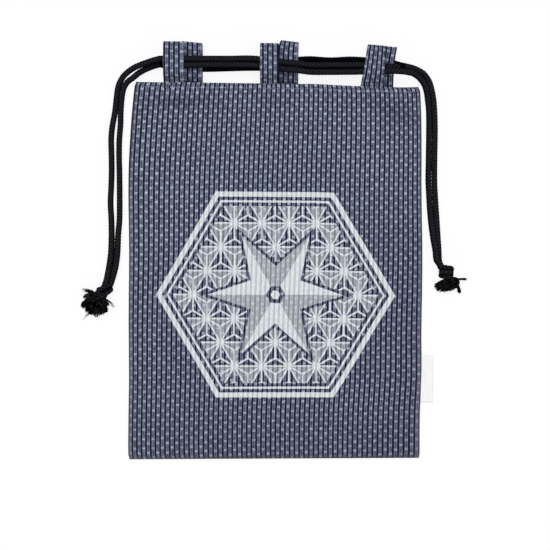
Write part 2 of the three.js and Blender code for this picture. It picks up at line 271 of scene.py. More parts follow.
@dataclass(frozen=True)
class Crease:
    """Place below the hem where the cloth has buckled: a low ridge, with shade painted on the cloth over it.
    """

    x: float
    y: float
    length: float
    width: float
    # Strength of the shade painted on the cloth over the crease
    shade: float
    turn: float = 0.0
    height: float = 1.0

    def reach(self, x: Reading, y: Reading) -> Reading:
        """Squared distance from the middle of the crease.

        Args:
            x: Across the bag.
            y: Up the bag.

        Returns:
            0 at the middle and 1 at the crease's length and width.
        """
        cos, sin = math.cos(math.radians(self.turn)), math.sin(math.radians(self.turn))
        along = ((x - self.x) * cos + (y - self.y) * sin) * (1 / self.length)
        aside = ((y - self.y) * cos - (x - self.x) * sin) * (1 / self.width)
        return along * along + aside * aside


@dataclass(frozen=True)
class Grain:
    """Soft noise: its blotches for each unit across and along, and its octaves of finer noise."""

    across: float
    along: float
    detail: float = 2.0


class Surface:
    """Material under construction, with its own surface coordinates."""

    # Sockets of a Mix node that take and give colours
    mix_inputs: ClassVar[tuple[int, int]] = (6, 7)
    mix_output: ClassVar[int] = 2

    def __init__(self, name: str, **settings: float) -> None:
        """Start a material from a Principled shader.

        Args:
            name: Name of the material.
            settings: Shader sockets, with underscores for spaces, and their constant values.
        """
        self.material = bpy.data.materials.new(name)
        self.material.use_nodes = True
        self.tree = self.material.node_tree
        self.shader = self.tree.nodes["Principled BSDF"]
        for socket, value in settings.items():
            self.shader.inputs[socket.replace("_", " ")].default_value = value

    def coordinates(self) -> tuple[Field, Field]:
        """Surface coordinates of the piece.

        Returns:
            The first and the second coordinate.
        """
        source = self.tree.nodes.new("ShaderNodeUVMap")
        source.uv_map = UV_NAME
        node = self.tree.nodes.new("ShaderNodeSeparateXYZ")
        self.tree.links.new(source.outputs["UV"], node.inputs["Vector"])
        return Field(self.tree, node.outputs["X"]), Field(self.tree, node.outputs["Y"])

    def noise(self, grain: Grain, across: Field, along: Field) -> Field:
        """Soft noise over two coordinates.

        Args:
            grain: Form of the noise.
            across: First coordinate.
            along: Second coordinate.

        Returns:
            A field around 0, mostly between -0.5 and 0.5.
        """
        point = self.tree.nodes.new("ShaderNodeCombineXYZ")
        self.tree.links.new((across * grain.across).socket, point.inputs["X"])
        self.tree.links.new((along * grain.along).socket, point.inputs["Y"])
        node = self.tree.nodes.new("ShaderNodeTexNoise")
        node.inputs["Scale"].default_value = 1.0
        node.inputs["Detail"].default_value = grain.detail
        self.tree.links.new(point.outputs["Vector"], node.inputs["Vector"])
        return Field(self.tree, node.outputs["Fac"]) - 0.5

    def tint(self, amount: Field, first: "str | Field", second: "str | Field") -> Field:
        """Mix two colours.

        Args:
            amount: 0 for the first colour, 1 for the second.
            first: Screen colour, or a colour made before.
            second: Screen colour, or a colour made before.

        Returns:
            The mixed colour.
        """
        node = self.tree.nodes.new("ShaderNodeMix")
        node.data_type = "RGBA"
        self.tree.links.new(amount.socket, node.inputs[0])
        for place, colour in zip(self.mix_inputs, (first, second)):
            if isinstance(colour, Field):
                self.tree.links.new(colour.socket, node.inputs[place])
            else:
                node.inputs[place].default_value = linear(colour)
        return Field(self.tree, node.outputs[self.mix_output])

    def feed(self, socket: str, value: Field) -> None:
        """Let a field drive a socket of the shader."""
        self.tree.links.new(value.socket, self.shader.inputs[socket])

    def relief(self, height: Field, depth: float) -> None:
        """Raise fine relief on the surface.

        Args:
            height: Height from 0 to 1.
            depth: Height of 1, in millimetres.
        """
        node = self.tree.nodes.new("ShaderNodeBump")
        node.inputs["Strength"].default_value = 1.0
        node.inputs["Distance"].default_value = depth * MM
        self.tree.links.new(height.socket, node.inputs["Height"])
        self.tree.links.new(node.outputs["Normal"], self.shader.inputs["Normal"])


class Finish:
    """Look of a surface: constants of its shader, and what a kind of finish paints on it.

    Plain factors where a kind paints are shares of its colours, its noise and its relief.
    """

    constants: ClassVar[dict[str, float]] = {}

    def dress(self, surface: Surface) -> None:
        """Paint the look on a surface."""
        raise NotImplementedError

    def material(self, name: str) -> Material:
        """Make a material with this look.

        Args:
            name: Name of the material.

        Returns:
            The material.
        """
        surface = Surface(name, **self.constants)
        self.dress(surface)
        return surface.material


@dataclass(frozen=True)
class HempLeafPrint:
    """Pale ink on the front: a six-sided field of hemp-leaf lattice round a star, in a double border."""

    middle_y: float = -19.4
    reach: float = 86.0
    border: float = 4.2
    inner_border: float = 1.8
    border_gap: float = 3.0
    cell: float = 23.0
    line: float = 1.5
    softness: float = 0.5
    half_tone: float = 0.36
    star_reach: float = 57.0
    star_waist: float = 24.0
    star_margin: float = 2.6
    facet_tone: float = 0.5
    heart: float = 7.0
    triangle_edge: Fade = (1.4, 1.6)
    facet_edge: Fade = (-1.0, 1.0)

    def below(self, value: Field, place: float) -> Field:
        """1 below a place and 0 above it, with a soft edge."""
        return value.step(place + self.softness / 2, place - self.softness / 2)

    def above(self, value: Field, place: float) -> Field:
        """1 above a place and 0 below it, with a soft edge."""
        return value.step(place - self.softness / 2, place + self.softness / 2)

    def star(self, x: Field, y: Field) -> tuple[Field, Field]:
        """Six-pointed star in the middle, each point cut lengthwise into a light and a dim facet.

        Args:
            x: Millimetres across from the print's middle.
            y: Millimetres up from the print's middle.

        Returns:
            Distance into the star, less than 0 outside it, and the ink on its facets.
        """
        turns = [math.radians(60 * k) for k in range(3)]
        reach = Field.most(*[(x * math.cos(turn) + y * math.sin(turn)).size() for turn in turns])
        aside = [y * math.cos(turn) - x * math.sin(turn) for turn in turns]
        off_axis = (x * x + y * y - reach * reach).most(0.0).apply("SQRT")
        waist_along = self.star_waist * math.cos(math.pi / 6)
        slope = self.star_waist * math.sin(math.pi / 6) / (self.star_reach - waist_along)
        depth = (reach * -1.0 + self.star_reach) * slope - off_axis
        lit = (aside[0] * aside[1] * aside[2]).step(*self.facet_edge)
        return depth, lit * (1 - self.facet_tone) + self.facet_tone

    def coverage(self, x: Field, y: Field) -> Field:
        """How much ink lies at a point of the front.

        Args:
            x: Millimetres across from the print's middle.
            y: Millimetres up from the print's middle.

        Returns:
            Coverage from 0, bare, to 1.
        """
        slant = math.sqrt(3) / 2
        ways = (y, x * slant - y * 0.5, x * -slant - y * 0.5)
        distance = Field.most(*[way.size() for way in ways])

        height = self.cell * slant
        parts = [(way * (1 / height)).part() for way in ways]
        pointing_down = (parts[0] + parts[1] + parts[2]).step(*self.triangle_edge)
        corners = [(part - pointing_down).size() for part in parts]
        nearest, farthest = Field.least(*corners), Field.most(*corners)
        middle = (farthest + nearest - 1.0).size()

        edge_line = self.below(nearest * height, self.line / 2)
        spoke_line = self.below((middle - nearest) * (height / math.sqrt(3)), self.line / 2)
        depth, facets = self.star(x, y)
        leaves = edge_line.most(spoke_line, pointing_down * self.half_tone)
        leaves = leaves * self.below(depth, -self.star_margin)
        points = facets * self.above(depth, 0.0) * self.above(distance, self.heart)
        lattice = leaves.most(points, self.below(distance, self.heart / 2))

        field_edge = self.reach - self.border - self.border_gap
        leaf_edge = field_edge - self.inner_border - self.border_gap
        bands = [self.below(distance, outer) * self.above(distance, outer - width)
                 for outer, width in ((self.reach, self.border), (field_edge, self.inner_border))]
        return Field.most(*bands, lattice * self.below(distance, leaf_edge))


@dataclass(frozen=True)
class StripedCloth(Finish):
    """Heavy cotton with raised pale columns between dark grooves and a row of dots on each column.

    Its coordinates count columns across and dots along. Painted shade darkens it towards the bottom and the
    lower right. With a front, it has painted shade over that front's creases and along its upper left edge,
    and the print on it.
    """

    constants = {"Roughness": 0.95, "Specular_IOR_Level": 0.08}
    front: "BagShape | None" = None
    ink_print: HempLeafPrint = HempLeafPrint()
    groove: str = "171a2e"
    column: str = "7f869d"
    dot: str = "bec4d8"
    worn_edge: str = "777580"
    ink: str = "e4ebee"
    bottom_edge: str = "47464e"
    yarns: int = 2
    blotch: Grain = Grain(0.035, 0.035, 3.0)
    slub: Grain = Grain(1.21, 0.275)
    fuzz: Grain = Grain(2.08, 0.8)
    wear: Grain = Grain(0.54, 0.18, 1.0)
    row_waver: Grain = Grain(0.657, 0.09, 1.0)
    sunk_yarn: Grain = Grain(3.88, 0.4, 1.0)
    dot_level: Grain = Grain(3.13, 5.7, 0.0)
    column_edge: Fade = (0.345, 0.245)
    parting_edge: Fade = (0.13, 0.03)
    dot_end: Fade = (0.17, 0.06)
    dot_side: Fade = (0.35, 0.22)
    # Painted shade: rows and columns over which the cloth darkens towards the bottom and the lower right
    shaded_foot_rows: Fade = (9.0, 0.0)
    shaded_body_rows: Fade = (30.0, 14.0)
    shaded_right_columns: Fade = (44.0, 58.0)
    shaded_right_rows: Fade = (34.0, 22.0)
    bottom_rows: Fade = (0.42, 0.08)
    worn_columns: Fade = (1.05, 0.6)
    # Painted shade along the front's upper left edge: its columns and rows
    edge_shade_columns: Fade = (0.6, 0.15)
    edge_shade_rows: Fade = (26.0, 32.0)
    relief_depth: float = 0.35

    def dress(self, surface: Surface) -> None:
        """Weave the columns and their dots, wear them, and print the front.

        Args:
            surface: Surface that is dressed.
        """
        plain_u, plain_v = surface.coordinates()
        x, y = plain_u * COLUMN_PITCH, plain_v * DOT_PITCH
        fuzz = surface.noise(self.fuzz, x, y)
        u = plain_u + surface.noise(self.slub, x, y) * 0.10
        v = plain_v - plain_u * ROW_RISE + surface.noise(self.row_waver, u.whole(), y) * 0.22

        off_centre = u.off_middle()
        on_column = (off_centre + fuzz * 0.08).step(*self.column_edge)
        yarn = (u * float(self.yarns)).whole()
        parting = off_centre.step(*self.parting_edge) * (surface.noise(self.wear, x, y) * 2.2 + 0.6).most(0.0)
        sunk = surface.noise(self.sunk_yarn, yarn, y) * 1.9 + fuzz * 0.9 + 0.14
        hatch = (sunk.most(0.0) + parting).least(0.9)

        shifted = v + (u.whole() * 0.5).part()
        on_dot = (shifted.off_middle() + fuzz * 0.09).step(*self.dot_end)
        on_dot = on_dot * (off_centre + fuzz * 0.10).step(*self.dot_side) * (parting * -0.55 + 1.0)
        dot_level = surface.noise(self.dot_level, yarn, shifted.whole()) * 1.1 + 0.83

        weave = surface.tint(on_column, self.groove, self.column)
        weave = surface.tint(hatch * on_column * (on_dot * -0.7 + 1.0), weave, self.groove)
        weave = surface.tint((on_dot * dot_level).least(1.0), weave, self.dot)
        # Painted shade: the cloth is darker towards the bottom and the lower right, and a little darker
        # overall.
        painted_shade = plain_v.step(*self.shaded_foot_rows) * 0.11 + plain_v.step(*self.shaded_body_rows) * 0.09 + 0.08
        painted_shade = painted_shade + plain_u.step(*self.shaded_right_columns) * (plain_v.step(*self.shaded_right_rows) * 0.08 + 0.02)
        weave = surface.tint(surface.noise(self.blotch, x, y) * 0.22 + painted_shade, weave, self.groove)
        weave = surface.tint(plain_v.step(*self.bottom_rows) * 0.5, weave, self.bottom_edge)
        to_edge = (plain_u - COLUMNS / 2).size() * -1.0 + COLUMNS / 2
        weave = surface.tint(to_edge.step(*self.worn_columns) * (fuzz * 0.5 + 0.3), weave, self.worn_edge)
        if self.front is not None:
            # Painted shade along the upper left edge, where the cloth rolls over.
            painted_edge_shade = plain_u.step(*self.edge_shade_columns) * plain_v.step(*self.edge_shade_rows)
            weave = surface.tint(painted_edge_shade * 0.8, weave, self.groove)
            # Painted shade over each crease below the hem.
            for crease in self.front.creases:
                reach = crease.reach(x - self.front.half_width, y + self.front.bottom)
                weave = surface.tint((reach * -1.0).apply("EXPONENT") * crease.shade, weave, self.groove)
            print_x = (u - COLUMNS / 2) * COLUMN_PITCH + grain_drift(plain_v * (1 / self.front.dot_rows))
            inked = self.ink_print.coverage(print_x, y + (self.front.bottom - self.ink_print.middle_y))
            soaked = on_column * 0.26 + on_dot * 0.08 - hatch * 0.16 + fuzz * 0.25 + 0.67
            weave = surface.tint((inked * soaked).least(0.97), weave, self.ink)
        surface.feed("Base Color", weave)
        surface.relief(on_column * 0.45 + on_dot * 0.3 - hatch * 0.45 + fuzz * 0.35, self.relief_depth)


@dataclass(frozen=True)
class BraidedCord(Finish):
    """Black braided cord, with painted light making it paler along its top.

    Its coordinates are the turn round the cord, from its top, and millimetres along it.
    """

    constants = {"Specular_IOR_Level": 0.0}
    shade: str = "000001"
    plait: str = "46474f"
    plaits: int = 4
    plait_pitch: float = 2.7
    plait_height: float = 0.34
    crown_edge: Fade = (0.42, 0.04)
    yarns: float = 22.0
    yarn_lean: float = 0.9
    yarn_edge: Fade = (0.10, 0.46)
    # Turns from the cord's top over which its painted top light fades out
    painted_top_light_turn: Fade = (0.24, 0.44)
    fuzz: Grain = Grain(17.6, 1.1, 3.0)
    relief_depth: float = 0.25

    def dress(self, surface: Surface) -> None:
        """Plait the cord.

        Args:
            surface: Surface that is dressed.
        """
        turn, along = surface.coordinates()
        round_it, advance = turn * float(self.plaits), along * (1 / self.plait_pitch)
        rising, falling = round_it + advance, round_it - advance
        over = ((rising.whole() + falling.whole()) * 0.5).part() * 2.0
        up_crown, down_crown = (way.off_middle().step(*self.crown_edge) for way in (rising, falling))
        crown = up_crown * over + down_crown * (over * -1.0 + 1.0)
        yarn = (turn * self.yarns + along * self.yarn_lean).off_middle().step(*self.yarn_edge)
        fuzz = surface.noise(self.fuzz, turn, along)
        # Painted light: the cord is paler along its top, where light falls from above.
        painted_top_light = (turn - 0.5).size().step(*self.painted_top_light_turn)
        lit = (crown * 0.6 + 0.16) * (fuzz * 0.9 + 0.65) * (yarn * -0.4 + 1.0) * (painted_top_light * 0.8 + 0.2)
        surface.feed("Base Color", surface.tint(lit, self.shade, self.plait))
        surface.feed("Roughness", fuzz * 0.3 + 0.6)
        surface.relief(crown * 0.6 - yarn * 0.35 + fuzz * 0.3, self.relief_depth)


@dataclass(frozen=True)
class LooseFibre(Finish):
    """Black fibre of a frayed cord end. Its coordinates are its own number and the way along it."""

    constants = {"Specular_IOR_Level": 0.0}
    root: str = "000001"
    tip: str = "3c3c40"
    tone: Grain = Grain(4.81, 2.6, 1.0)

    def dress(self, surface: Surface) -> None:
        """Shade each fibre, paler towards its tip.

        Args:
            surface: Surface that is dressed.
        """
        fibre, along = surface.coordinates()
        tone = surface.noise(self.tone, fibre, along)
        pale = (tone * 3.0 + 0.25).most(0.0) * (along * 0.6 + 0.4)
        surface.feed("Base Color", surface.tint(pale, self.root, self.tip))
        surface.feed("Roughness", tone * 0.3 + 0.65)


@dataclass(frozen=True)
class SatinRibbon(Finish):
    """Plain white woven ribbon with firm edges. Its coordinates are millimetres."""

    constants = {"Roughness": 0.5, "Sheen_Weight": 0.25, "Sheen_Roughness": 0.4}
    light: str = "f8f8f7"
    shade: str = "e4e4e2"
    rib_pitch: float = 0.55
    warp_pitch: float = 0.34375
    rib_edge: Fade = (0.2, 0.5)
    warp_edge: Fade = (0.3, 0.5)
    cloud: Grain = Grain(0.25, 0.25)
    relief_depth: float = 0.12

    def dress(self, surface: Surface) -> None:
        """Weave the ribbon.

        Args:
            surface: Surface that is dressed.
        """
        along, across = surface.coordinates()
        rib = (across * (1 / self.rib_pitch)).off_middle().step(*self.rib_edge)
        warp = (along * (1 / self.warp_pitch)).off_middle().step(*self.warp_edge)
        cloud = surface.noise(self.cloud, along, across)
        surface.feed("Base Color", surface.tint(rib * 0.4 + warp * 0.2 + cloud * 0.3, self.light, self.shade))
        surface.relief(cloud * 0.2 - rib * 0.5 - warp * 0.3, self.relief_depth)


@dataclass(frozen=True)
class SewingThread(Finish):
    """Twisted grey-blue thread. Its coordinates are the turn round it and millimetres along it."""

    constants = {"Roughness": 0.65, "Sheen_Weight": 0.2}
    light: str = "8f94ad"
    shade: str = "3b405c"
    plies: float = 2.0
    twist: float = 1.8
    ply_edge: Fade = (0.18, 0.46)
    relief_depth: float = 0.08

    def dress(self, surface: Surface) -> None:
        """Twist the thread.

        Args:
            surface: Surface that is dressed.
        """
        turn, along = surface.coordinates()
        groove = (turn * self.plies + along * self.twist).off_middle().step(*self.ply_edge)
        surface.feed("Base Color", surface.tint(groove, self.light, self.shade))
        surface.relief(groove * -1.0, self.relief_depth)


class MeshBuilder:
    """Gathers grids of points into one mesh with surface coordinates."""

    def __init__(self) -> None:
        """Start with no points."""
        self.points: list[np.ndarray] = []
        self.faces: list[list[int]] = []
        self.corner_uv: list[np.ndarray] = []

    def add_grid(self, points: np.ndarray, uv: np.ndarray, closed: bool = True) -> "MeshBuilder":
        """Add a grid of quads.

        Args:
            points: Rows by columns by 3, in millimetres.
            uv: Rows by columns by 2, with one column more than the points on a closed grid.
            closed: Join the last column to the first, and close both ends with a face.

        Returns:
            This builder.
        """
        rows, columns = points.shape[:2]
        start = sum(len(part) for part in self.points)
        number = start + np.arange(rows * columns).reshape(rows, columns)
        i, j = np.meshgrid(np.arange(rows - 1), np.arange(columns if closed else columns - 1), indexing="ij")
        beside = (j + 1) % columns
        quads = np.stack([number[i, j], number[i, beside], number[i + 1, beside], number[i + 1, j]], axis=-1)
        corners = np.stack([uv[i, j], uv[i, j + 1], uv[i + 1, j + 1], uv[i + 1, j]], axis=2)
        self.points.append(points.reshape(-1, 3))
        self.faces += quads.reshape(-1, 4).tolist()
        self.corner_uv.append(corners.reshape(-1, 2))
        if closed:
            self.faces += [number[0, ::-1].tolist(), number[-1].tolist()]
            self.corner_uv += [uv[0, columns - 1::-1], uv[-1, :columns]]
        return self

    def build(self, name: str, material: Material, slot: Slot | None = None) -> Piece:
        """Make the object.

        Args:
            name: Name of the piece.
            material: Its finish.
            slot: Not used.

        Returns:
            The new object, in the scene.
        """
        mesh = bpy.data.meshes.new(name)
        mesh.from_pydata((np.concatenate(self.points) * MM).tolist(), [], self.faces)
        layer = mesh.uv_layers.new(name=UV_NAME)
        layer.data.foreach_set("uv", np.concatenate(self.corner_uv).astype(np.float32).ravel())
        mesh.shade_smooth()
        mesh.materials.append(material)
        piece = bpy.data.objects.new(name, mesh)
        bpy.context.scene.collection.objects.link(piece)
        LOG.info("%s: %d faces", name, len(mesh.polygons))
        return piece


def grid_uv(across: np.ndarray, along: np.ndarray) -> np.ndarray:
    """Surface coordinates of a grid, from those of its columns and its rows."""
    return np.stack(np.meshgrid(across, along), axis=-1)


def lengths_along(route: np.ndarray) -> np.ndarray:
    """Length of a polyline up to each of its points."""
    return np.concatenate([[0], np.cumsum(np.linalg.norm(np.diff(route, axis=0), axis=1))])


def directions(route: np.ndarray) -> np.ndarray:
    """Unit vectors along a polyline, one at each point."""
    ways = np.gradient(route, axis=0)
    return ways / np.linalg.norm(ways, axis=1)[:, None]


def smooth_route(points: np.ndarray, step: float, dense: int = 24) -> np.ndarray:
    """Run a centripetal curve through points and space it evenly.

    Args:
        points: Points on the route, in millimetres.
        step: Spacing of the result, met nearly.
        dense: Points worked out between two points of the route before they are spaced.

    Returns:
        Evenly spaced points from the first point to the last.
    """
    padded = np.vstack([2 * points[0] - points[1], points, 2 * points[-1] - points[-2]])
    spans = np.sqrt(np.linalg.norm(np.diff(padded, axis=0), axis=1))
    tau = np.linspace(0, 1, dense, endpoint=False)[:, None]
    pieces = []
    for k in range(len(points) - 1):
        a, b, c, d = padded[k:k + 4]
        before, here, after = spans[k:k + 3]
        out = ((b - a) / before - (c - a) / (before + here) + (c - b) / here) * here
        into = ((c - b) / here - (d - b) / (here + after) + (d - c) / after) * here
        pieces.append(b + out * tau + (3 * (c - b) - 2 * out - into) * tau ** 2
                      + (2 * (b - c) + out + into) * tau ** 3)
    curve = np.vstack([*pieces, points[-1:]])
    lengths = lengths_along(curve)
    wanted = np.linspace(0, lengths[-1], max(2, round(lengths[-1] / step) + 1))
    return np.stack([np.interp(wanted, lengths, values) for values in curve.T], axis=1)


def rings(route: np.ndarray, top: np.ndarray, radius: np.ndarray, angles: np.ndarray) -> np.ndarray:
    """Lay rings of points round a route, carried along it without a twist.

    Args:
        route: Points along the middle.
        top: Way that angle 0 faces at the start.
        radius: Radius at each point of the route, by each angle or by 1.
        angles: Places round the ring.

    Returns:
        Points, a ring for each point of the route.
    """
    tangents = directions(route)
    first = np.empty_like(route)
    for i, tangent in enumerate(tangents):
        top = top - tangent * np.dot(top, tangent)
        top = top / np.linalg.norm(top)
        first[i] = top
    second = np.cross(tangents, first)
    cos, sin = np.cos(angles)[:, None], np.sin(angles)[:, None]
    return route[:, None] + radius[..., None] * (first[:, None] * cos + second[:, None] * sin)


def leaned_off(path: np.ndarray, out: np.ndarray) -> tuple[np.ndarray, np.ndarray]:
    """Side view of points beside a folded strip, at distances off its middle line and square to it."""
    ways = directions(path)
    return path[:, :1] + ways[:, 1:] * out, path[:, 1:] - ways[:, :1] * out


@dataclass
class BagShape:
    """Form of the bag as it lies: its outline, the swell of its front and the relief of its weave.

    A place on the cloth is s, 0 at the left seam and 1 at the right one, and t, 0 at the bottom seam
    and 1 at the mouth. Pairs of sizes are for the left and the right side.
    """

    edge_roll: float = 0.9
    seam_row: float = 3.2
    seam_dip: float = 0.4
    seam_dip_width: float = 0.9
    rib_height: float = 0.26
    dot_height: float = 0.14
    rib_edge: Fade = (0.2, 0.5)
    dot_end: Fade = (0.26, 0.0)
    dot_side: Fade = (0.42, 0.32)
    cloth: float = 0.9
    belly: float = 9.0
    hem_cover: float = 0.3
    past_seam: Pair = (0.4, 0.3)
    drawn_in: Pair = (5.4, 1.3)
    drawn_rows: Fade = (0.66, 1.0)
    drawn_curve: float = 2.6
    right_steps: tuple[tuple[float, Fade], ...] = ((0.5, (0.43, 0.33)), (1.1, (0.215, 0.13)))
    corner_tightness: float = 210.0
    top_corner: Pair = (0.9, 1.4)
    low_corner: Pair = (0.9, 0.6)
    lean_power: int = 5
    flat_power: int = 6
    foot_power: int = 4
    gathered: float = 0.0045
    gathered_reach: float = 0.14
    gathered_edge: float = 0.008
    crowded: float = 0.0024
    mouth_left: float = 2.4
    mouth_fall: float = 2.8
    mouth_hollow: float = 0.8
    mouth_sag: float = 1.4
    sag_columns: Fade = (0.6, 0.8)
    mouth_dip: float = 0.6
    dip_place: float = 0.93
    dip_width: float = 0.05
    bottom_left: float = 0.4
    bottom_rise: float = 1.2
    seam_waves: tuple[Wave, ...] = (Wave(0.22, 17, 0.6), Wave(0.18, 41, 2.1))
    across_wave: Wave = Wave(0.35, 27, 0.8)
    up_wave: Wave = Wave(1.0, 39, 1.7)
    slant_wave: Wave = Wave(0.2, 16)
    slant: float = 16 / 23
    side_ripple: Ripple = Ripple(0.22, 8, 4.6, Wave(2.0, 31))
    hem_ripple: Ripple = Ripple(0.25, 7, 5.1, Wave(1.5, 37))
    creases: tuple[Crease, ...] = (
        Crease(-86.3, 141.3, 24.0, 5.5, 0.42),
        Crease(-7.9, 144.2, 11.0, 4.5, 0.22),
        Crease(96.0, 137.6, 28.0, 8.0, 0.30, turn=-20.0),
    )
    half_width: float = field(init=False)
    bottom: float = field(init=False)
    mouth: float = field(init=False)
    front_rim: float = field(init=False)
    mouth_rise: float = field(init=False)

    def __post_init__(self) -> None:
        """Take the sizes that the frame gives."""
        low, high = node_box("back_panel")
        self.half_width = float(high[0])
        self.bottom, self.mouth = float(low[1]), float(high[1])
        self.front_rim = float(node_box("front_panel")[0][2])
        self.mouth_rise = float(node_box("front_hem")[1][2]) + self.hem_cover - self.front_rim

    @property
    def height(self) -> float:
        """Distance from the bottom seam to the mouth."""
        return self.mouth - self.bottom

    @property
    def dot_rows(self) -> float:
        """Number of dot rows from the bottom to the mouth."""
        return self.height / DOT_PITCH

    @property
    def relief(self) -> float:
        """Full height of the weave over its grooves."""
        return self.rib_height + self.dot_height

    def outline(self, s: np.ndarray, t: np.ndarray) -> tuple[np.ndarray, np.ndarray]:
        """Place on the table under a point of the cloth.

        Args:
            s: Across the bag.
            t: Up the bag.

        Returns:
            x and y.
        """
        drawn = ramp(t, *self.drawn_rows) ** self.drawn_curve
        wander = sum(wave.at(self.bottom + self.height * t) for wave in self.seam_waves)
        top_corner = np.exp(-(1 - t) * self.corner_tightness)
        low_corner = np.exp(-t * self.corner_tightness)
        left, right = (
            self.half_width + self.past_seam[k] - self.edge_roll - self.drawn_in[k] * drawn
            - self.top_corner[k] * top_corner - self.low_corner[k] * low_corner for k in (0, 1))
        right = right - sum(depth * ramp(t, *rows) for depth, rows in self.right_steps)
        from_middle = np.abs(2 * s - 1)
        to_edge = (1 - from_middle) / 2
        drift = grain_drift(t) / (2 * self.half_width) * (1 - from_middle ** self.lean_power)
        gathered = self.gathered * np.exp(-to_edge / self.gathered_reach) * np.sign(s - 0.5)
        gathered = gathered * (1 - np.exp(-to_edge / self.gathered_edge))
        across = s + drift + gathered + self.crowded * np.sin(2 * math.pi * s)
        x = wander - left + (left + right) * across

        sag = self.mouth_sag * smooth(ramp(s, *self.sag_columns))
        sag = sag + self.mouth_dip * np.exp(-((s - self.dip_place) / self.dip_width) ** 2)
        sag = sag + self.mouth_hollow * (1 - from_middle ** self.flat_power) + self.mouth_fall * s
        top = self.mouth + self.mouth_left - sag - self.edge_roll
        low = self.bottom - self.bottom_left + self.bottom_rise * s + self.edge_roll
        return x, low + (top - low) * t

    def front_height(self, s: np.ndarray, t: np.ndarray) -> np.ndarray:
        """Height of the front cloth's outer face, without its ribs.

        Args:
            s: Across the bag.
            t: Up the bag.

        Returns:
            z.
        """
        x, y = self.outline(s, t)
        from_middle = np.abs(2 * s - 1)
        to_side, to_mouth = (1 - from_middle) * self.half_width, (1 - t) * self.height
        full = (1 - (1 - t) ** self.foot_power) * (1 - from_middle ** self.flat_power)
        swell = self.belly + (self.mouth_rise - self.belly) * t ** 2
        swell = swell + self.across_wave.at(x) * self.up_wave.at(y) + self.slant_wave.at(x - self.slant * y)
        swell = swell - self.seam_dip * np.exp(-((to_mouth - self.seam_row) / self.seam_dip_width) ** 2)
        z = self.front_rim + self.cloth + swell * full
        z = z + self.side_ripple.at(y, to_side) + self.hem_ripple.at(x, to_mouth)
        return z + sum(crease.height * np.exp(-crease.reach(x, y)) for crease in self.creases)

    def ribs(self, c: np.ndarray, v: np.ndarray) -> np.ndarray:
        """Relief of the weave: a rib for each column and a swelling at each dot.

        Args:
            c: Columns across.
            v: Dot rows along.

        Returns:
            Height over the grooves.
        """
        off_centre = np.abs(c - np.floor(c) - 0.5)
        shifted = v - c * ROW_RISE + 0.5 * (np.floor(c) % 2)
        off_dot = np.abs(shifted - np.floor(shifted) - 0.5)
        dot = ramp(off_dot, *self.dot_end) * ramp(off_centre, *self.dot_side)
        return self.rib_height * (1 - ramp(off_centre, *self.rib_edge) ** 2) + self.dot_height * dot


@dataclass
class DrawLine:
    """Step for the cloth that a cord draws in: it bakes the place of each piece into its mesh."""

    shape: BagShape
    depth: float = 200.0
    full_at: float = 65.0

    def attach(self, piece: Piece, half: Half) -> None:
        """Bake the place of a piece of cloth into its mesh.

        Args:
            piece: Piece with its final mesh.
            half: Not used.
        """
        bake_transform(piece)


@dataclass
class Panels:
    """Front and back of the bag, each in two halves that meet at the middle line."""

    shape: BagShape
    draw: DrawLine
    column_cuts: tuple[float, ...] = (0.0, 0.18, 0.5, 0.82)
    row_cut: float = 0.25
    roll_steps: int = 3
    floor_gap: float = 0.05
    back_drop: float = 0.8
    last_column: float = COLUMNS - 1e-6
    side_allowance: float = 4.0
    hem_allowance: float = 6.0

    def grid(self, face: Face, half: Half) -> tuple[np.ndarray, np.ndarray]:
        """Points and coordinates of one half panel, with its edges rolled in.

        Args:
            face: Front or back.
            half: Left or right.

        Returns:
            Points, rows by columns by 3, and the weave coordinates of each.
        """
        shape, roll, steps = self.shape, self.shape.edge_roll, self.roll_steps
        turns = np.linspace(0, math.pi, 2 * steps + 1)[1:]
        first = 0 if half is Half.LEFT else COLUMNS // 2
        cuts = np.add.outer(np.arange(first, first + COLUMNS // 2), self.column_cuts).ravel()
        cuts = np.append(cuts, first + COLUMNS // 2)
        if half is Half.LEFT:
            c = np.pad(cuts, (steps, 0), "edge")
            side_turn = np.concatenate([turns[steps - 1::-1], np.zeros(len(cuts))])
        else:
            c = np.pad(cuts, (0, steps), "edge")
            side_turn = np.concatenate([np.zeros(len(cuts)), turns[:steps]])
        rows = np.append(np.arange(0, shape.dot_rows, self.row_cut), shape.dot_rows)
        v = np.pad(rows, (steps, 2 * steps), "edge")
        end_turn = np.concatenate([-turns[steps - 1::-1], np.zeros(len(rows)), turns])

        (c, v), (side, end) = np.meshgrid(c, v), np.meshgrid(side_turn, end_turn)
        s, t = c / COLUMNS, v / shape.dot_rows
        x, y = shape.outline(s, t)
        drop = roll * np.maximum(1 - np.cos(side), 1 - np.cos(end))
        sunk = shape.relief - shape.ribs(np.minimum(c, self.last_column), v)
        if face is Face.FRONT:
            z = shape.front_height(s, t) - sunk - drop
        else:
            z = self.floor_gap + sunk + self.back_drop * drop
        x = x + half.value * roll * np.sin(side)
        y = y + roll * np.sin(end)
        uv = (c + half.value * side * roll / COLUMN_PITCH, v + end * roll / DOT_PITCH)
        return np.stack([x, y, z], axis=-1), np.stack(uv, axis=-1)

    def build(self) -> None:
        """Build and dress the four half panels."""
        finishes = {
            Face.FRONT: StripedCloth(self.shape).material("front_cloth"),
            Face.BACK: StripedCloth().material("back_cloth"),
        }
        for face in Face:
            for half in Half:
                points, uv = self.grid(face, half)
                if face is Face.BACK:
                    points, uv = points[:, ::-1], uv[:, ::-1]
                mesh = MeshBuilder().add_grid(points, uv, closed=False)
                piece = mesh.build(f"{face.value}_panel_{half.word}", finishes[face], Slot.CLOTH)
                self.draw.attach(piece, half)
                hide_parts(f"{face.value}_panel")


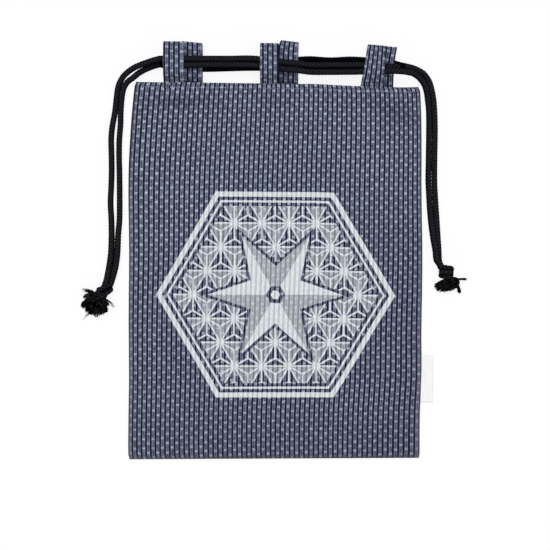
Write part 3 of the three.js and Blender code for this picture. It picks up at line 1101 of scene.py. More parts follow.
@dataclass
class Seams:
    """Pressed allowances inside the seams, hem facings inside the mouth, and the front hem's stitches."""

    shape: BagShape
    draw: DrawLine
    strip_thickness: float = 0.6
    allowance: float = 6.0
    allowance_start: float = 0.3
    allowance_cuts: int = 5
    allowance_level: float = 1.85
    side_ends: Pair = (0.004, 0.985)
    bottom_ends: Pair = (0.03, 0.97)
    side_ripple: Wave = Wave(0.25, 3.1)
    bottom_ripple: Wave = Wave(0.25, 3.3)
    row_length: float = 4.0
    bottom_rows: int = 60
    facing_end: float = 0.47
    facing_depths: Pair = (8.0, 0.2)
    facing_columns: int = 61
    facing_rows: int = 6
    facing_gap: float = 1.9
    back_facing_level: float = 1.75
    stitch_length: float = 2.7
    stitch_gap: float = 0.7
    stitch_radius: float = 0.3
    stitch_sides: int = 6
    stitch_margin: float = 4.0
    stitch_on_rib: float = 0.6
    stitch_bow: tuple[float, ...] = (-0.32, -0.02, 0.1, 0.12, 0.1, -0.02, -0.32)
    cloth: Material = field(init=False)
    thread: Material = field(init=False)

    def __post_init__(self) -> None:
        """Make the finishes."""
        self.cloth = StripedCloth().material("inner_cloth")
        self.thread = SewingThread().material("hem_thread")

    def strip(self, name: str, points: np.ndarray, uv: np.ndarray) -> Piece:
        """Make a thin strip of cloth with a face on both sides.

        Args:
            name: Name of the piece.
            points: Rows by columns by 3 of its upper face.
            uv: Weave coordinates of the same points.

        Returns:
            The piece.
        """
        ring = np.concatenate([points, points[:, ::-1] - UP * self.strip_thickness], axis=1)
        ring_uv = np.concatenate([uv, uv[:, ::-1], uv[:, :1]], axis=1)
        return MeshBuilder().add_grid(ring, ring_uv).build(name, self.cloth, Slot.CLOTH)

    def seam(self, half: Half | None) -> None:
        """Build the pressed allowance along one seam, clockwise round the bag.

        Args:
            half: Side of the bag, or none for the bottom.
        """
        if half is None:
            s, t = np.linspace(*self.bottom_ends, self.bottom_rows)[::-1], np.zeros(self.bottom_rows)
            name, inward, ripple, run = "bottom_seam", (0, 1), self.bottom_ripple, 0
        else:
            t = np.linspace(*self.side_ends, int(self.shape.height / self.row_length))[::-half.value]
            s = np.full_like(t, float(half is Half.RIGHT))
            name, inward, ripple, run = f"{half.word}_seam", (-half.value, 0), self.side_ripple, 1
        edge = np.stack(self.shape.outline(s, t), axis=-1)
        depths = np.linspace(self.allowance_start, self.allowance, self.allowance_cuts)
        reach = depths + ripple.at(edge[:, run])[:, None] * (depths / self.allowance)
        flat = edge[:, None] + reach[..., None] * np.array(inward)
        points = np.concatenate([flat, np.full((*reach.shape, 1), self.allowance_level)], axis=-1)
        piece = self.strip(f"{name}_allowance", points, flat / (COLUMN_PITCH, DOT_PITCH))
        if half is None:
            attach(piece, "bag")
        else:
            self.draw.attach(piece, half)
        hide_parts(name)

    def facing(self, face: Face, half: Half) -> None:
        """Build half of the turned-in hem of one panel.

        Args:
            face: Front or back panel.
            half: Left or right.
        """
        shape = self.shape
        columns = np.sort(0.5 + half.value * self.facing_end * np.linspace(0, 1, self.facing_columns))
        depths = np.linspace(*self.facing_depths, self.facing_rows)[::-1] / shape.height
        s, t = np.meshgrid(columns, 1 - depths, indexing="ij")
        x, y = shape.outline(s, t)
        z = np.full_like(x, self.back_facing_level)
        if face is Face.FRONT:
            z = shape.front_height(s, t) - self.facing_gap
        points = np.stack([x, y, z], axis=-1)
        uv = np.stack([s * COLUMNS, t * shape.dot_rows], axis=-1)
        piece = self.strip(f"{face.value}_hem_{half.word}", points, uv)
        self.draw.attach(piece, half)
        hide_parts(f"{face.value}_hem")

    def stitches(self, half: Half) -> None:
        """Build the row of stitches along half of the front hem.

        Args:
            half: Left or right.
        """
        shape = self.shape
        pitch = self.stitch_length + self.stitch_gap
        bow = np.array(self.stitch_bow)
        t = np.full(len(bow), 1 - shape.seam_row / shape.height)
        turn = np.linspace(0, 1, self.stitch_sides + 1)
        angle = 2 * math.pi * turn[:-1]
        ring = self.stitch_radius * np.stack([np.zeros_like(angle), np.cos(angle), np.sin(angle)], axis=-1)
        mesh = MeshBuilder()
        for k in range(int((shape.half_width - self.stitch_margin) / pitch)):
            from_middle = (k + 0.5) * pitch + self.stitch_length / 2 * np.linspace(-1, 1, len(bow))
            s = 0.5 + half.value * from_middle / (2 * shape.half_width)
            lift = shape.ribs(s * COLUMNS, t * shape.dot_rows).max() * self.stitch_on_rib + bow
            middle = np.stack([*shape.outline(s, t), shape.front_height(s, t) - shape.relief + lift], axis=-1)
            points = middle[:, None] + ring
            if half is Half.RIGHT:
                points = points[:, ::-1]
            mesh.add_grid(points, grid_uv(turn, from_middle))
        self.draw.attach(mesh.build(f"front_hem_stitches_{half.word}", self.thread, Slot.CLOTH), half)

    def build(self) -> None:
        """Build the allowances, facings and stitches."""
        for half in Half:
            self.seam(half)
            for face in Face:
                self.facing(face, half)
            self.stitches(half)
        self.seam(None)


@dataclass
class CordLoop:
    """One cloth loop: a folded strip, sewn into the hem, that a pair of cords runs through."""

    node: str
    body: str
    width: float
    lean: float = 0.0
    curl: float = 1.0
    taper: float = 0.0
    tilt: float = 0.0
    flare: float = 0.0
    bulge: float = 0.0
    shift: float = 0.0
    rise: float = 0.0
    weave_start: float = 0.0


@dataclass
class Loops:
    """Six loops along the mouth, three on its front and three on its back."""

    shape: BagShape
    thickness: float = 0.9
    seat_start: float = 8.3
    leg_middle: float = 16.0
    seat_end: float = 24.0
    root_depth: float = 5.0
    root_under: float = 1.5
    back_root: float = 1.2
    root_pinch: float = 0.1
    front_drop: float = 0.4
    foot_up: float = 2.4
    foot_out: float = 2.0
    foot_turn: float = 0.2
    fold_steps: int = 9
    fold_round: float = 2.2
    fold_narrow: float = 0.04
    flare_reach: float = 7.0
    step: float = 1.0
    column_cuts: int = 4
    inner_cuts: int = 5
    loops: tuple[CordLoop, ...] = (
        CordLoop("front_loop_left", "right_cord", 16.2, tilt=-0.01, shift=-2.9, rise=0.9, weave_start=9.6),
        CordLoop("front_loop_middle", "bag", 14.9, tilt=-0.02, shift=-0.2, rise=-0.4, weave_start=10.27),
        CordLoop("front_loop_right", "left_cord", 17.0, lean=3.3, taper=0.18, tilt=-0.09, flare=0.6,
                 bulge=1.5, shift=-0.8, rise=-2.0, weave_start=12.2),
        CordLoop("back_loop_left", "right_cord", 17.0, tilt=-0.10, shift=0.2, rise=1.5, weave_start=14.5),
        CordLoop("back_loop_middle", "bag", 16.4, lean=1.7, curl=6.0, taper=0.11, tilt=-0.12,
                 shift=-1.75, rise=2.4, weave_start=10.67),
        CordLoop("back_loop_right", "left_cord", 17.0, lean=3.3, curl=2.4, tilt=-0.09, shift=-2.9,
                 rise=-1.6, weave_start=13.6),
    )

    def profile(self, low: float, high: float, top: float, hem: float, root: float) -> np.ndarray:
        """Side view of a loop's middle line, from its root up the rear leg and down the front leg.

        Args:
            low: Underside of the loop.
            high: Top side of the loop.
            top: Height of its fold above the mouth.
            hem: Height of the hem's edge above the mouth, where the root goes in.
            root: z of the root's front layer inside the hem.

        Returns:
            Points [up, z], evenly spaced.
        """
        half = self.thickness / 2
        rear, front = low + half, high - half
        angles = np.linspace(-math.pi / 2, math.pi / 2, self.fold_steps)
        fold_up = self.seat_end + (top - half - self.seat_end) * np.cos(angles)
        fold_z = (rear + front) / 2 + (front - rear) / 2 * np.sin(angles)
        rear_root = root - self.thickness
        points = np.array([
            (hem - self.root_depth, rear_root), (hem, rear_root + self.root_pinch),
            (self.seat_start, rear), (self.leg_middle, rear),
            *zip(fold_up, fold_z),
            (self.leg_middle, front), (self.seat_start, front - self.front_drop),
            (hem + self.foot_up, root + self.foot_out),
            (hem + self.foot_turn, root + self.foot_turn), (hem - self.root_depth, root),
        ])
        return smooth_route(points, self.step)

    def build_loop(self, loop: CordLoop, finish: Material) -> None:
        """Build and dress one loop.

        Args:
            loop: The loop's own sizes.
            finish: Cloth.
        """
        shape = self.shape
        low, high = node_box(loop.node)
        top = high[1] - shape.mouth + loop.rise
        centre = (low[0] + high[0]) / 2 + loop.shift
        place = np.array([0.5 + centre / (2 * shape.half_width)]), np.ones(1)
        hem = float(shape.outline(*place)[1][0]) + shape.edge_roll - shape.mouth
        root = low[2] + self.back_root
        if loop.node.startswith(Face.FRONT.value):
            root = float(shape.front_height(*place)[0]) - self.root_under
        path = self.profile(low[2], high[2] + loop.bulge, top, hem, root)

        along = lengths_along(path)
        v = along / DOT_PITCH
        columns = loop.width / COLUMN_PITCH
        half = self.thickness / 2
        outer = np.linspace(-0.5, 0.5, round(columns) * self.column_cuts + 1)
        inner = np.linspace(0.5, -0.5, self.inner_cuts)
        side = 0.5 + half / loop.width
        across = np.concatenate([outer, [side], inner, [-side]])
        relief = shape.ribs((outer + 0.5) * columns + loop.weave_start, v[:, None]) - shape.rib_height
        edge, back = np.zeros((len(path), 1)), np.full((len(path), self.inner_cuts), -half)
        out = np.concatenate([half + relief, edge, back, edge], axis=1)

        up, z = leaned_off(path, out)
        share = np.clip(up / top, 0, 1)
        spread = share ** loop.curl
        rounding = 1 - self.fold_narrow * ramp(up, top - self.fold_round, top) ** 2
        x = centre + across * loop.width * (1 - loop.taper * spread) * rounding + loop.lean * spread
        x = x - loop.flare * np.exp(-np.maximum(up, 0) / self.flare_reach) * (0.5 - across)
        y = shape.mouth + up + loop.tilt * (x - centre) * share
        points = np.stack([x, y, z], axis=-1)
        uv = grid_uv((np.append(across, across[0]) + 0.5) * columns + loop.weave_start, v)
        mesh = MeshBuilder().add_grid(points[:, ::-1], uv[:, ::-1])
        piece = mesh.build(f"{loop.node}_strip", finish, Slot.CLOTH)
        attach(piece, loop.body)
        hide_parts(loop.node)

    def build(self) -> None:
        """Build all six loops."""
        finish = StripedCloth().material("loop_cloth")
        for loop in self.loops:
            self.build_loop(loop, finish)


@dataclass(frozen=True)
class Bundle:
    """Loose yarn of a frayed end: where it reaches from the knot, along the cord's way and across it."""

    along: float
    across: float
    up: float = 3.0
    fibres: int = 84
    size: float = 3.0
    from_along: float = 0.0
    from_across: float = 0.0


@dataclass(frozen=True)
class Strand:
    """One strand of a cord: its way through the loops, its tail, and the yarns that its end frays into.

    The way goes from the near side to the far one, as x, up from the mouth and height. The tail goes
    from the last loop to the knot, as out from the side seam, up from the mouth and height.
    """

    word: str
    place: int
    way: np.ndarray
    tail: np.ndarray
    bundles: tuple[Bundle, ...]


@dataclass(frozen=True)
class Knot:
    """Overhand knot in a pair of tails, with the place and the way that the cord runs through it."""

    out: float
    up: float
    way_out: float
    way_up: float
    strand_turn: float
    entry_aside: float
    wrap_turn: float
    wrap_width: float
    wrap_apart: float
    wraps: int
    fray_start: float
    seed: int
    length: float = 9.0
    height: float = 10.2
    pulled_tight: float = 0.95
    coil_ends: Pair = (-150.0, 250.0)
    coil_steps: int = 25
    coil_closes: float = 0.26
    coil_start: float = -0.6
    coil_advance: float = 1.3
    core_ends: Pair = (-5.5, 5.6)
    core_bow: tuple[float, ...] = (0.4, 0.0, -0.4, -0.2, 0.0, -0.4)


@dataclass(frozen=True)
class Fray:
    """How the fibres of a yarn fan out, like the hairs of a brush."""

    floor: float
    sides: int = 3
    steps: int = 8
    arch: Pair = (0.8, 2.4)
    sway: float = 0.9
    length: float = 1.06
    outer_shorter: float = 0.24
    ragged: float = 0.03
    root_spread: float = 0.4
    tip_spread: float = 0.75
    spread_curve: float = 0.7
    curl: float = 0.35
    curl_turns: Pair = (5.0, 4.0)
    fall_curve: float = 1.4
    thickness: Pair = (0.3, 0.46)
    thinning: float = 0.4
    yarn_tone: Pair = (7.3, 3.1)
    fibre_tone: float = 0.25
    side_tone: float = 0.1

    def add(self, mesh: MeshBuilder, bundle: Bundle, root: np.ndarray, heading: np.ndarray,
            draw: np.random.Generator) -> None:
        """Add one yarn's fibres.

        Args:
            mesh: Mesh that takes the fibres.
            bundle: The yarn.
            root: Where it leaves the knot.
            heading: How far it reaches from there over the table.
            draw: Source of the random draws.
        """
        tone = bundle.along * self.yarn_tone[0] + bundle.across * self.yarn_tone[1]
        turn = np.linspace(0, 1, self.sides + 1)
        tau = np.linspace(0, 1, self.steps)
        sideways = np.cross(UP, heading / np.linalg.norm(heading))
        arch = draw.uniform(*self.arch)
        sway = draw.normal(0, self.sway)
        for _ in range(bundle.fibres):
            place = math.sqrt(draw.uniform(0, 1))
            spin = draw.uniform(0, 2 * math.pi)
            t = tau * (self.length - self.outer_shorter * place ** 2 + draw.normal(0, self.ragged))
            spread = bundle.size * place * (self.root_spread + self.tip_spread * t ** self.spread_curve)
            bow = np.sin(t * math.pi)
            curls = [curl * np.sin(turns * t) * t
                     for curl, turns in zip(draw.normal(0, self.curl, 2), self.curl_turns)]
            aside = spread * math.cos(spin) + sway * bow + curls[0]
            lift = spread * math.sin(spin) + arch * bow + curls[1]
            lift = lift + (bundle.up - root[2]) * t ** self.fall_curve
            route = root + heading * t[:, None] + sideways * aside[:, None] + UP * lift[:, None]
            thick = draw.uniform(*self.thickness) * (1 - self.thinning * tau ** 2)
            route[:, 2] = np.maximum(route[:, 2], thick + self.floor)
            points = rings(route, sideways, thick[:, None], 2 * math.pi * turn[:-1])
            shade = tone + draw.uniform(0, self.fibre_tone)
            mesh.add_grid(points, grid_uv(shade + turn * self.side_tone, tau))


@dataclass
class Drawcord:
    """One cord: its run through the loops, two free tails, the knot and the frayed ends."""

    side: Half
    shape: BagShape
    front: Strand
    back: Strand
    knot: Knot
    turn_x: float
    turn_front: float
    turn_back: float
    far_grip: float
    turn_high: float = ABOVE
    finish: BraidedCord = BraidedCord()
    diameter: float = 5.0
    run_drawn: float = 1.02
    tail_drawn: float = 0.98
    knot_drawn: float = 1.06
    drawn_over: float = 28.0
    eased_over: float = 48.0
    ridge: float = 0.55
    valley: float = 0.25
    turn_squeeze: float = 0.75
    turn_steps: int = 7
    clearance: float = 0.3
    lap: float = 0.6
    table_gap: float = 0.1
    run_cut: float = -5.0
    held_left: float = -21.0
    held_right: float = 29.0
    lead_out: float = 0.4
    blend_way: Pair = (0.9, -0.436)
    blend_length: float = 38.0
    ease_power: int = 4
    step: float = 0.5
    sides: int = 24
    word: str = field(init=False)
    middle: np.ndarray = field(init=False)
    way: np.ndarray = field(init=False)
    across: np.ndarray = field(init=False)
    cord: Material = field(init=False)
    fibre: Material = field(init=False)

    def __post_init__(self) -> None:
        """Find the knot's middle, the way through it and the way across it, outward. Make the finishes."""
        side, knot = self.side.value, self.knot
        self.word = self.side.word
        self.middle = np.array([side * (self.shape.half_width + knot.out), self.shape.mouth + knot.up,
                                self.table_gap + knot.height / 2])
        self.way = np.array([side * knot.way_out, knot.way_up, 0.0])
        self.way /= np.linalg.norm(self.way)
        self.across = -side * np.array([self.way[1], -self.way[0], 0.0])
        self.cord = self.finish.material(f"{self.word}_cord_braid")
        self.fibre = LooseFibre().material(f"{self.word}_cord_fibre")

    def tube(self, route: np.ndarray, radius: float | np.ndarray,
             top: np.ndarray = UP) -> tuple[np.ndarray, np.ndarray]:
        """Lay a braided tube along a route.

        Args:
            route: Evenly spaced points.
            radius: Mean radius of the cord, the same all along or one for each point.
            top: Way that the cord's painted lit top faces at the start.

        Returns:
            Points, a ring for each point of the route, and their coordinates.
        """
        along = lengths_along(route)
        turn = np.linspace(0, 1, self.sides + 1)
        angle = turn[:-1] * 2 * math.pi
        advance = 2 * math.pi * along[:, None] / self.finish.plait_pitch
        plait = self.finish.plaits * angle
        crown = np.maximum(np.cos(plait + advance), np.cos(plait - advance))
        mean = np.broadcast_to(radius, len(route))[:, None]
        grown = mean + self.finish.plait_height * (self.ridge * crown - self.valley)
        return rings(route, top, grown, angle), grid_uv(turn, along)

    def exit_point(self, strand: Strand) -> np.ndarray:
        """End of a strand's run, where its tail starts."""
        return strand.way[0] + (-self.side.value * self.lap, self.shape.mouth, 0.0)

    def run_route(self) -> np.ndarray:
        """Route in along the front, round the far loops and back along the rear.

        Returns:
            Evenly spaced points.
        """
        outward = -self.side.value
        front = np.array([self.turn_front, self.turn_high])
        back = np.array([self.turn_back, BELOW])
        radius = self.turn_squeeze * np.linalg.norm(front - back) / 2
        lead_x = self.turn_x - outward * self.diameter / 2
        turn = [(self.turn_x + outward * radius * math.sin(angle),
                 *(front + back + (front - back) * math.cos(angle)) / 2)
                for angle in np.linspace(0, math.pi, self.turn_steps + 1)]
        points = [*self.front.way, (lead_x, *front), *turn, (lead_x, *back), *self.back.way[::-1]]
        return smooth_route(np.array(points) + (0.0, self.shape.mouth, 0.0), self.step)

    def build_run(self) -> None:
        """Build the run in two pieces, split where it crosses the cut near the middle."""
        route = self.run_route()
        points, uv = self.tube(route, self.diameter / 2 * self.run_drawn)
        past_cut = np.nonzero(self.side.value * (route[:, 0] - self.run_cut) < 0)[0]
        first, last = past_cut[0], past_cut[-1]
        held_near, held_far = self.held_left, self.held_right
        if self.side is Half.RIGHT:
            held_near, held_far = held_far, held_near
        exit_x = self.exit_point(self.front)[0]
        halves = (
            ("near", (slice(0, first + 1), slice(last, len(route))), held_near, exit_x),
            ("far", (slice(first, last + 1),), held_far, self.far_grip),
        )
        for word, spans, start_x, end_x in halves:
            mesh = MeshBuilder()
            for span in spans:
                mesh.add_grid(points[span], uv[span])
            piece = mesh.build(f"{self.word}_cord_{word}_half", self.cord, Slot.CORD)
            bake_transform(piece)
            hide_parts(f"{self.word}_cord_run")

    def strand_offset(self, place: int, spacing: float) -> np.ndarray:
        """Offset of the front strand, place 1, or the back one, -1, from their pair's middle in the knot."""
        turn = math.radians(self.knot.strand_turn)
        return place * spacing / 2 * (self.across * math.cos(turn) + UP * math.sin(turn))

    def tail_route(self, strand: Strand) -> np.ndarray:
        """Route of one tail from the end of its run to the face of its knot.

        Args:
            strand: The strand.

        Returns:
            Evenly spaced points.
        """
        side = self.side.value
        lead = strand.tail * (side, 1, 1) + (side * self.shape.half_width, self.shape.mouth, 0.0)
        offset = self.across * self.knot.entry_aside + self.strand_offset(strand.place, self.diameter)
        entry = self.middle + offset - self.way * (self.knot.length / 2 + self.clearance)
        start = self.exit_point(strand)
        straight = start + self.lead_out * (lead[0] - start)
        points = [start, straight, *lead, entry - self.way * self.diameter / 2, entry]
        return smooth_route(np.array(points), self.step)

    def build_knot(self) -> Piece:
        """Build the knot: coils of cord wound round the pair of strands that passes through.

        Returns:
            The piece.
        """
        knot = self.knot
        turn = math.radians(knot.wrap_turn)
        along_wrap = np.array([math.cos(turn), math.sin(turn), 0.0])
        stacked = np.array([math.sin(turn), -math.cos(turn), 0.0])
        radius = self.diameter / 2 * knot.pulled_tight
        angles = np.linspace(*np.radians(knot.coil_ends), knot.coil_steps)
        wide, tall = knot.wrap_width / 2 - radius, knot.height / 2 - radius
        loop = np.outer(wide * np.cos(angles), along_wrap) + np.outer(tall * np.sin(angles), UP)
        closing = 1 - knot.coil_closes + knot.coil_closes * np.sin(angles)
        mesh = MeshBuilder()
        for place in np.linspace(-1, 1, knot.wraps):
            shift = place * radius * knot.wrap_apart * closing
            shift = shift + knot.coil_start + knot.coil_advance * angles / math.pi
            coil = self.middle + loop + np.outer(shift, stacked)
            mesh.add_grid(*self.tube(smooth_route(coil, self.step), radius, top=coil[0] - self.middle))
        reach = np.linspace(*knot.core_ends, len(knot.core_bow))
        core = self.middle + np.outer(reach, self.way) + np.outer(knot.core_bow, UP)
        for place in (-1, 1):
            route = smooth_route(core + self.strand_offset(place, radius * 2), self.step)
            mesh.add_grid(*self.tube(route, radius))
        piece = mesh.build(f"{self.word}_overhand_knot", self.cord, Slot.CORD)
        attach(piece, f"{self.word}_tail")
        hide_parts(f"{self.word}_knot")
        return piece

    def build_fray(self, strand: Strand) -> Piece:
        """Build the loose fibres of one frayed strand.

        Args:
            strand: The strand.

        Returns:
            The piece.
        """
        draw = np.random.default_rng(self.knot.seed + strand.place)
        fray = Fray(self.table_gap)
        mesh = MeshBuilder()
        for bundle in strand.bundles:
            start = self.knot.fray_start + bundle.from_along
            root = self.middle + self.way * start + self.across * bundle.from_across
            fray.add(mesh, bundle, root, self.way * bundle.along + self.across * bundle.across, draw)
        piece = mesh.build(f"{self.word}_frayed_fibres_{strand.word}", self.fibre, Slot.FRAY)
        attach(piece, f"{self.word}_tail")
        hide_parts(f"{self.word}_frayed_end_{strand.word}")
        return piece

    def build_tail(self, strand: Strand, with_pieces: list[Piece]) -> None:
        """Build one free tail.

        Args:
            strand: The strand.
            with_pieces: Not used.
        """
        run_radius, radius, knot_radius = (
            self.diameter / 2 * drawn for drawn in (self.run_drawn, self.tail_drawn, self.knot_drawn))
        route = self.tail_route(strand)
        length = lengths_along(route)[-1]
        along = np.linspace(0, length, len(route))
        near_run = np.exp(-(along / self.drawn_over) ** self.ease_power)
        near_knot = np.exp(-((length - along) / self.eased_over) ** self.ease_power)
        radius = radius + (run_radius - radius) * near_run + (knot_radius - radius) * near_knot
        route[:, 2] = np.maximum(route[:, 2], radius + self.finish.plait_height / 2 + self.table_gap)
        mesh = MeshBuilder().add_grid(*self.tube(route, radius))
        tail = mesh.build(f"{self.word}_tail_{strand.word}_braid", self.cord, Slot.CORD)
        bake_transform(tail)
        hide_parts(f"{self.word}_tail_{strand.word}")

    def build(self) -> None:
        """Build the run, the tails, the knot and the frayed ends."""
        self.build_run()
        knot = self.build_knot()
        for strand, extra in ((self.front, [knot]), (self.back, [])):
            self.build_tail(strand, [self.build_fray(strand), *extra])


def points_at(level: float, *points: tuple[float, ...]) -> np.ndarray:
    """Points of a cord: those without a height of their own are at the level."""
    return np.array([(*point, level)[:3] for point in points])


LEFT_FRONT = Strand(
    "front", 1,
    way=points_at(
        ABOVE, (-96.7, 20.4), (-70, 20.4), (-53, 20.4), (-38, 20.4), (-21, 20.6), (-13, 20.0), (-4, 18.8),
        (5, 17.5), (18, 16.5), (28.9, 15.2), (45.6, 15.2), (62.4, 15.3), (74, 15.1, 11.5), (84, 14.5, 10.9),
        (93, 13.9, 10.4)),
    tail=points_at(
        LYING, (-21.5, 19.3, 10.9), (-14.7, 17.3, 9.2), (-8.8, 15.4, 7.4), (-3.7, 13.2, 5.8), (1.4, 9.8, 4.4),
        (4.5, 6.9, 3.5), (6.8, 3.4, 2.9), (8.6, -0.4), (9.8, -6.2), (10.6, -12.9), (11.3, -19.6),
        (12.3, -26.3), (13.6, -32.9), (14.5, -39.6), (14.9, -46.3), (14.6, -59.7), (14.5, -73.1),
        (14.9, -86.4), (15.4, -96), (15.3, -103), (14.8, -111), (14.5, -126.6), (14.9, -139.9),
        (15.6, -146.6), (16.7, -153.3)),
    bundles=(
        Bundle(0.6, 10.8, 3.2), Bundle(6.4, 12.6, 3.4), Bundle(14.0, 11.0, 2.6), Bundle(16.0, 6.0, 3.0),
        Bundle(10.0, 6.0, 5.6), Bundle(6.0, 8.0, 5.2), Bundle(12.5, 8.5, 4.2),
        Bundle(1.5, 16.6, 2.0, fibres=14, size=1.3), Bundle(23.0, 5.0, 1.0, fibres=6, size=0.8)),
)
LEFT_BACK = Strand(
    "back", -1,
    way=points_at(
        BELOW, (-96.7, 16.8), (-91, 15.8), (-85, 14.7), (-78, 13.6), (-60, 13.0), (-38, 13.5), (-21, 13.9),
        (5, 13.6), (20, 13.1), (28.9, 12.6), (48, 12.2), (73, 12.2), (92.5, 12.6)),
    tail=points_at(
        LYING, (-20.9, 15.5, 3.6), (-14.2, 12.9, 3.1), (-8.4, 9.8, 2.8), (-3.8, 6.1), (1.6, 1.8), (4.2, -2.6),
        (5.4, -6.8), (6.2, -12.9), (6.7, -19.6), (7.0, -26.3), (7.1, -32.9), (7.6, -39.6), (8.1, -46.3),
        (8.3, -59.7), (8.0, -73.1), (7.8, -99.8), (8.0, -113.2), (9.1, -126.6), (9.7, -139.9),
        (10.4, -146.6), (11.5, -153.3)),
    bundles=(
        Bundle(16.5, 1.5, 2.8), Bundle(16.0, -3.0, 3.0), Bundle(12.5, -6.5, 2.8), Bundle(9.0, -9.0, 3.0),
        Bundle(4.0, -8.0, 3.4), Bundle(9.5, -1.5, 6.0), Bundle(12.5, 2.0, 5.0), Bundle(8.0, -5.0, 5.4),
        Bundle(2.5, -13.0, 1.0, fibres=5, size=1.2)),
)
LEFT_KNOT = Knot(
    out=20.5, up=-172.6, way_out=0.46, way_up=-0.89, strand_turn=42, entry_aside=0.0, wrap_turn=26,
    wrap_width=15.4, wrap_apart=0.95, wraps=2, fray_start=5.8, seed=11,
)
RIGHT_FRONT = Strand(
    "front", 1,
    way=points_at(
        ABOVE, (109, 9.5, 11.8), (105, 9.8, 12.6), (100, 10.0, 13.1), (92, 10.2, 13.2), (84, 10.0, 13.0),
        (76, 9.8, 12.4), (68, 9.6), (62.4, 9.5), (45.6, 9.4), (28.9, 9.5), (18, 10.9), (5, 12.2), (-4, 13.4),
        (-13, 14.6), (-21, 15.2), (-38, 15.4), (-53, 15.4), (-78.4, 15.2)),
    tail=points_at(
        LYING, (-8.8, 8.7, 10.2), (-5.3, 7.2, 8.6), (-1.9, 4.7, 6.8), (1.9, -0.2, 5.0), (4.0, -6.2, 3.6),
        (5.0, -12.9, 2.9), (5.8, -19.6), (6.1, -29.6), (6.0, -46), (5.7, -66), (5.5, -79.8), (6.1, -93, 2.8),
        (6.9, -106.5, 3.4), (8.1, -119, 4.6), (9.6, -130, 6.0), (11.1, -139, 7.1), (12.0, -146.7, 7.8)),
    bundles=(
        Bundle(9.5, -1.0, 3.0), Bundle(10.6, -0.6, 1.6, size=1.3, from_along=3.8, from_across=4.0),
        Bundle(7.0, 5.6, 3.4), Bundle(5.2, 5.8, 3.2, size=2.0), Bundle(6.5, 1.5, 5.6), Bundle(9.0, 3.4, 4.4),
        Bundle(6.4, 12.8, 2.2, fibres=14, size=0.9)),
)
RIGHT_BACK = Strand(
    "back", -1,
    way=points_at(
        BELOW, (109, 15.2), (105.8, 15.8), (103.3, 16.4), (100.8, 17.2), (92, 18.8), (84, 19.5), (74, 20.3),
        (62.4, 20.8), (45.6, 20.1), (28.9, 21.1), (18, 20.6), (-13, 20.3), (-21, 20.1), (-60, 19.7),
        (-78.4, 19.5)),
    tail=points_at(
        LYING, (-8.2, 13.9, 3.7), (-4.9, 12.7, 3.3), (-1.5, 11.1, 2.9), (1.8, 8.7), (4.3, 5.6), (6.6, 1.4),
        (8.7, -6.2), (9.8, -12.9), (10.4, -19.6), (10.9, -32), (10.9, -46), (10.6, -62), (10.5, -73),
        (10.7, -86), (11.5, -99.8), (12.3, -113.2), (13.1, -126.6), (13.8, -137), (14.3, -146.7)),
    bundles=(
        Bundle(1.6, -13.2, 3.2), Bundle(4.6, -12.4, 2.8), Bundle(7.0, -9.0, 3.0), Bundle(8.8, -5.0, 3.0),
        Bundle(4.0, -6.0, 5.8), Bundle(2.8, -9.4, 5.0)),
)
RIGHT_KNOT = Knot(
    out=20.2, up=-156.7, way_out=0.42, way_up=-0.91, strand_turn=90, entry_aside=-2.2, wrap_turn=-6,
    wrap_width=12.6, wrap_apart=1.36, wraps=3, fray_start=6.2, seed=29,
)


@dataclass
class SideTab:
    """Blank ribbon tab, folded double and sewn into the right seam."""

    finish: SatinRibbon = SatinRibbon()
    thickness: float = 0.34
    tucked: float = 2.5
    fold: float = 0.42
    fold_steps: int = 5
    fold_start: float = 1.2
    bow_place: float = 3.0
    lower_bow: float = 0.15
    upper_bow: float = 0.35
    warp: Wave = Wave(0.3, 7.5)
    droop: float = 0.4
    rows: int = 28
    step: float = 0.4

    def build(self) -> None:
        """Build and dress the tab."""
        low, high = node_box("label_tab")
        middle_z = (low[2] + high[2]) / 2
        lower, upper = middle_z - self.fold, middle_z + self.fold
        angles = np.linspace(-math.pi / 2, math.pi / 2, self.fold_steps)
        fold_x = high[0] - self.fold + self.fold * np.cos(angles)
        root_x, bow_x, fold_start = low[0] - self.tucked, low[0] + self.bow_place, high[0] - self.fold_start
        path = smooth_route(np.array([
            (root_x, lower), (bow_x, lower - self.lower_bow), (fold_start, lower),
            *zip(fold_x, middle_z + self.fold * np.sin(angles)),
            (fold_start, upper), (bow_x, upper + self.upper_bow), (root_x, upper),
        ]), self.step)
        along = lengths_along(path)
        half = self.thickness / 2
        rows = np.linspace(low[1], high[1], self.rows)
        ring_y = np.concatenate([rows, [high[1] + half], rows[::-1], [low[1] - half]])
        out = np.repeat([half, 0.0, -half, 0.0], [self.rows, 1, self.rows, 1])
        x, z = leaned_off(path, out)
        reach = (x - low[0]) / (high[0] - low[0])
        points = np.stack([x, ring_y - self.droop * reach, z + reach * self.warp.at(ring_y)], axis=-1)
        uv = grid_uv(np.append(ring_y, ring_y[0]), along)[..., ::-1]
        mesh = MeshBuilder().add_grid(points, uv)
        piece = mesh.build("side_tab_ribbon", self.finish.material("tab_ribbon"), Slot.RIBBON)
        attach(piece, "bag")
        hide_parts("label_tab")


@dataclass(frozen=True)
class Lamp:
    """Soft lamp far away: the level it gives a white floor, and its place and width in degrees."""

    name: str
    level: float
    azimuth: float
    elevation: float
    softness: float


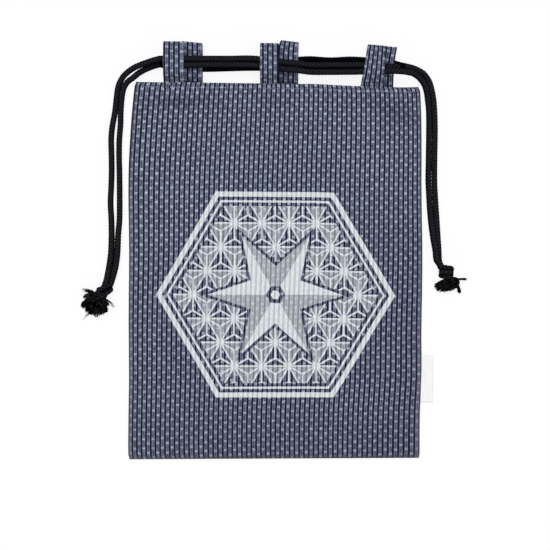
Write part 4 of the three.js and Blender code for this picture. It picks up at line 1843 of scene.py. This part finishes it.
@dataclass
class Studio:
    """Pale floor, soft light and a camera straight above the bag."""

    view_width: float = 459.8
    view_centre: Pair = (-0.33, -2.68)
    focus_height: float = 3.0
    lens: float = 100.0
    sensor: float = 36.0
    lamps: tuple[Lamp, ...] = (Lamp("key", 0.42, 120, 58, 40), Lamp("fill", 0.14, -30, 50, 60))
    ambient: float = 0.50
    floor_size: float = 6000.0
    floor_glow: float = 0.88
    floor_white: str = "fbfbfb"
    floor_bounce: str = "b4b4b4"

    def add_camera(self) -> None:
        """Hang the camera over the bag, with the mouth at the top of the picture."""
        data = bpy.data.cameras.new("camera")
        data.lens = self.lens
        data.sensor_width = self.sensor
        distance = self.view_width * self.lens / self.sensor
        camera = bpy.data.objects.new("camera", data)
        camera.location = metres((*self.view_centre, self.focus_height + distance))
        bpy.context.scene.collection.objects.link(camera)
        bpy.context.scene.camera = camera

    def add_lamp(self, lamp: Lamp) -> None:
        """Add a lamp.

        Args:
            lamp: The lamp.
        """
        data = bpy.data.lights.new(lamp.name, "SUN")
        data.energy = lamp.level * math.pi / math.sin(math.radians(lamp.elevation))
        data.angle = math.radians(lamp.softness)
        piece = bpy.data.objects.new(lamp.name, data)
        piece.rotation_euler = (0.0, math.radians(90 - lamp.elevation), math.radians(lamp.azimuth))
        bpy.context.scene.collection.objects.link(piece)

    def seen(self, tree: bpy.types.NodeTree) -> Field:
        """Rays that show a surface, straight to the camera or in a gloss or a glass.

        Args:
            tree: Nodes of the material or the world.

        Returns:
            1 on those rays.
        """
        rays = tree.nodes.new("ShaderNodeLightPath")
        names = ("Is Camera Ray", "Is Glossy Ray", "Is Transmission Ray")
        return Field.most(*[Field(tree, rays.outputs[name]) for name in names])

    def add_world(self) -> None:
        """Light from all round, and a white background for the camera and for reflections."""
        world = bpy.data.worlds.new("studio")
        world.use_nodes = True
        tree = world.node_tree
        background = tree.nodes["Background"]
        background.inputs["Color"].default_value = (1, 1, 1, 1)
        strength = self.seen(tree) * (1 - self.ambient) + self.ambient
        tree.links.new(strength.socket, background.inputs["Strength"])
        bpy.context.scene.world = world

    def add_floor(self) -> None:
        """Lay a plain white floor, which shines a little where it is seen and keeps the bag's shadow."""
        surface = Surface("floor_card", Roughness=1.0, Specular_IOR_Level=0.0)
        tree = surface.tree
        glow = tree.nodes.new("ShaderNodeEmission")
        mix = tree.nodes.new("ShaderNodeMixShader")
        seen = self.seen(tree)
        surface.feed("Base Color", surface.tint(seen, self.floor_bounce, self.floor_white))
        tree.links.new((seen * self.floor_glow).socket, mix.inputs["Fac"])
        tree.links.new(surface.shader.outputs["BSDF"], mix.inputs[1])
        tree.links.new(glow.outputs["Emission"], mix.inputs[2])
        tree.links.new(mix.outputs["Shader"], tree.nodes["Material Output"].inputs["Surface"])
        ends = np.array([-0.5, 0.5]) * self.floor_size
        corners = np.stack([*np.meshgrid(ends, ends), np.zeros((2, 2))], axis=-1)
        mesh = MeshBuilder().add_grid(corners, grid_uv(ends, ends), closed=False)
        mesh.build("floor", surface.material)

    def build(self) -> None:
        """Set up the studio."""
        self.add_camera()
        self.add_world()
        for lamp in self.lamps:
            self.add_lamp(lamp)
        self.add_floor()
        bpy.context.scene.view_settings.view_transform = "Standard"


def main() -> None:
    """Build the studio, then the bag in order: cords, cloth, loops and tab."""
    logging.basicConfig(level=logging.INFO, format="%(name)s: %(message)s")
    shape = BagShape()
    draw = DrawLine(shape)
    Studio().build()
    Drawcord(
        Half.LEFT, shape, LEFT_FRONT, LEFT_BACK, LEFT_KNOT,
        turn_x=100.0, turn_front=13.8, turn_back=12.8, far_grip=70.0, turn_high=10.3,
    ).build()
    Drawcord(
        Half.RIGHT, shape, RIGHT_FRONT, RIGHT_BACK, RIGHT_KNOT,
        turn_x=-86.7, turn_front=15.3, turn_back=19.5, far_grip=-57.0,
    ).build()
    Panels(shape, draw).build()
    Seams(shape, draw).build()
    Loops(shape).build()
    SideTab().build()


if __name__ == "__main__":
    main()
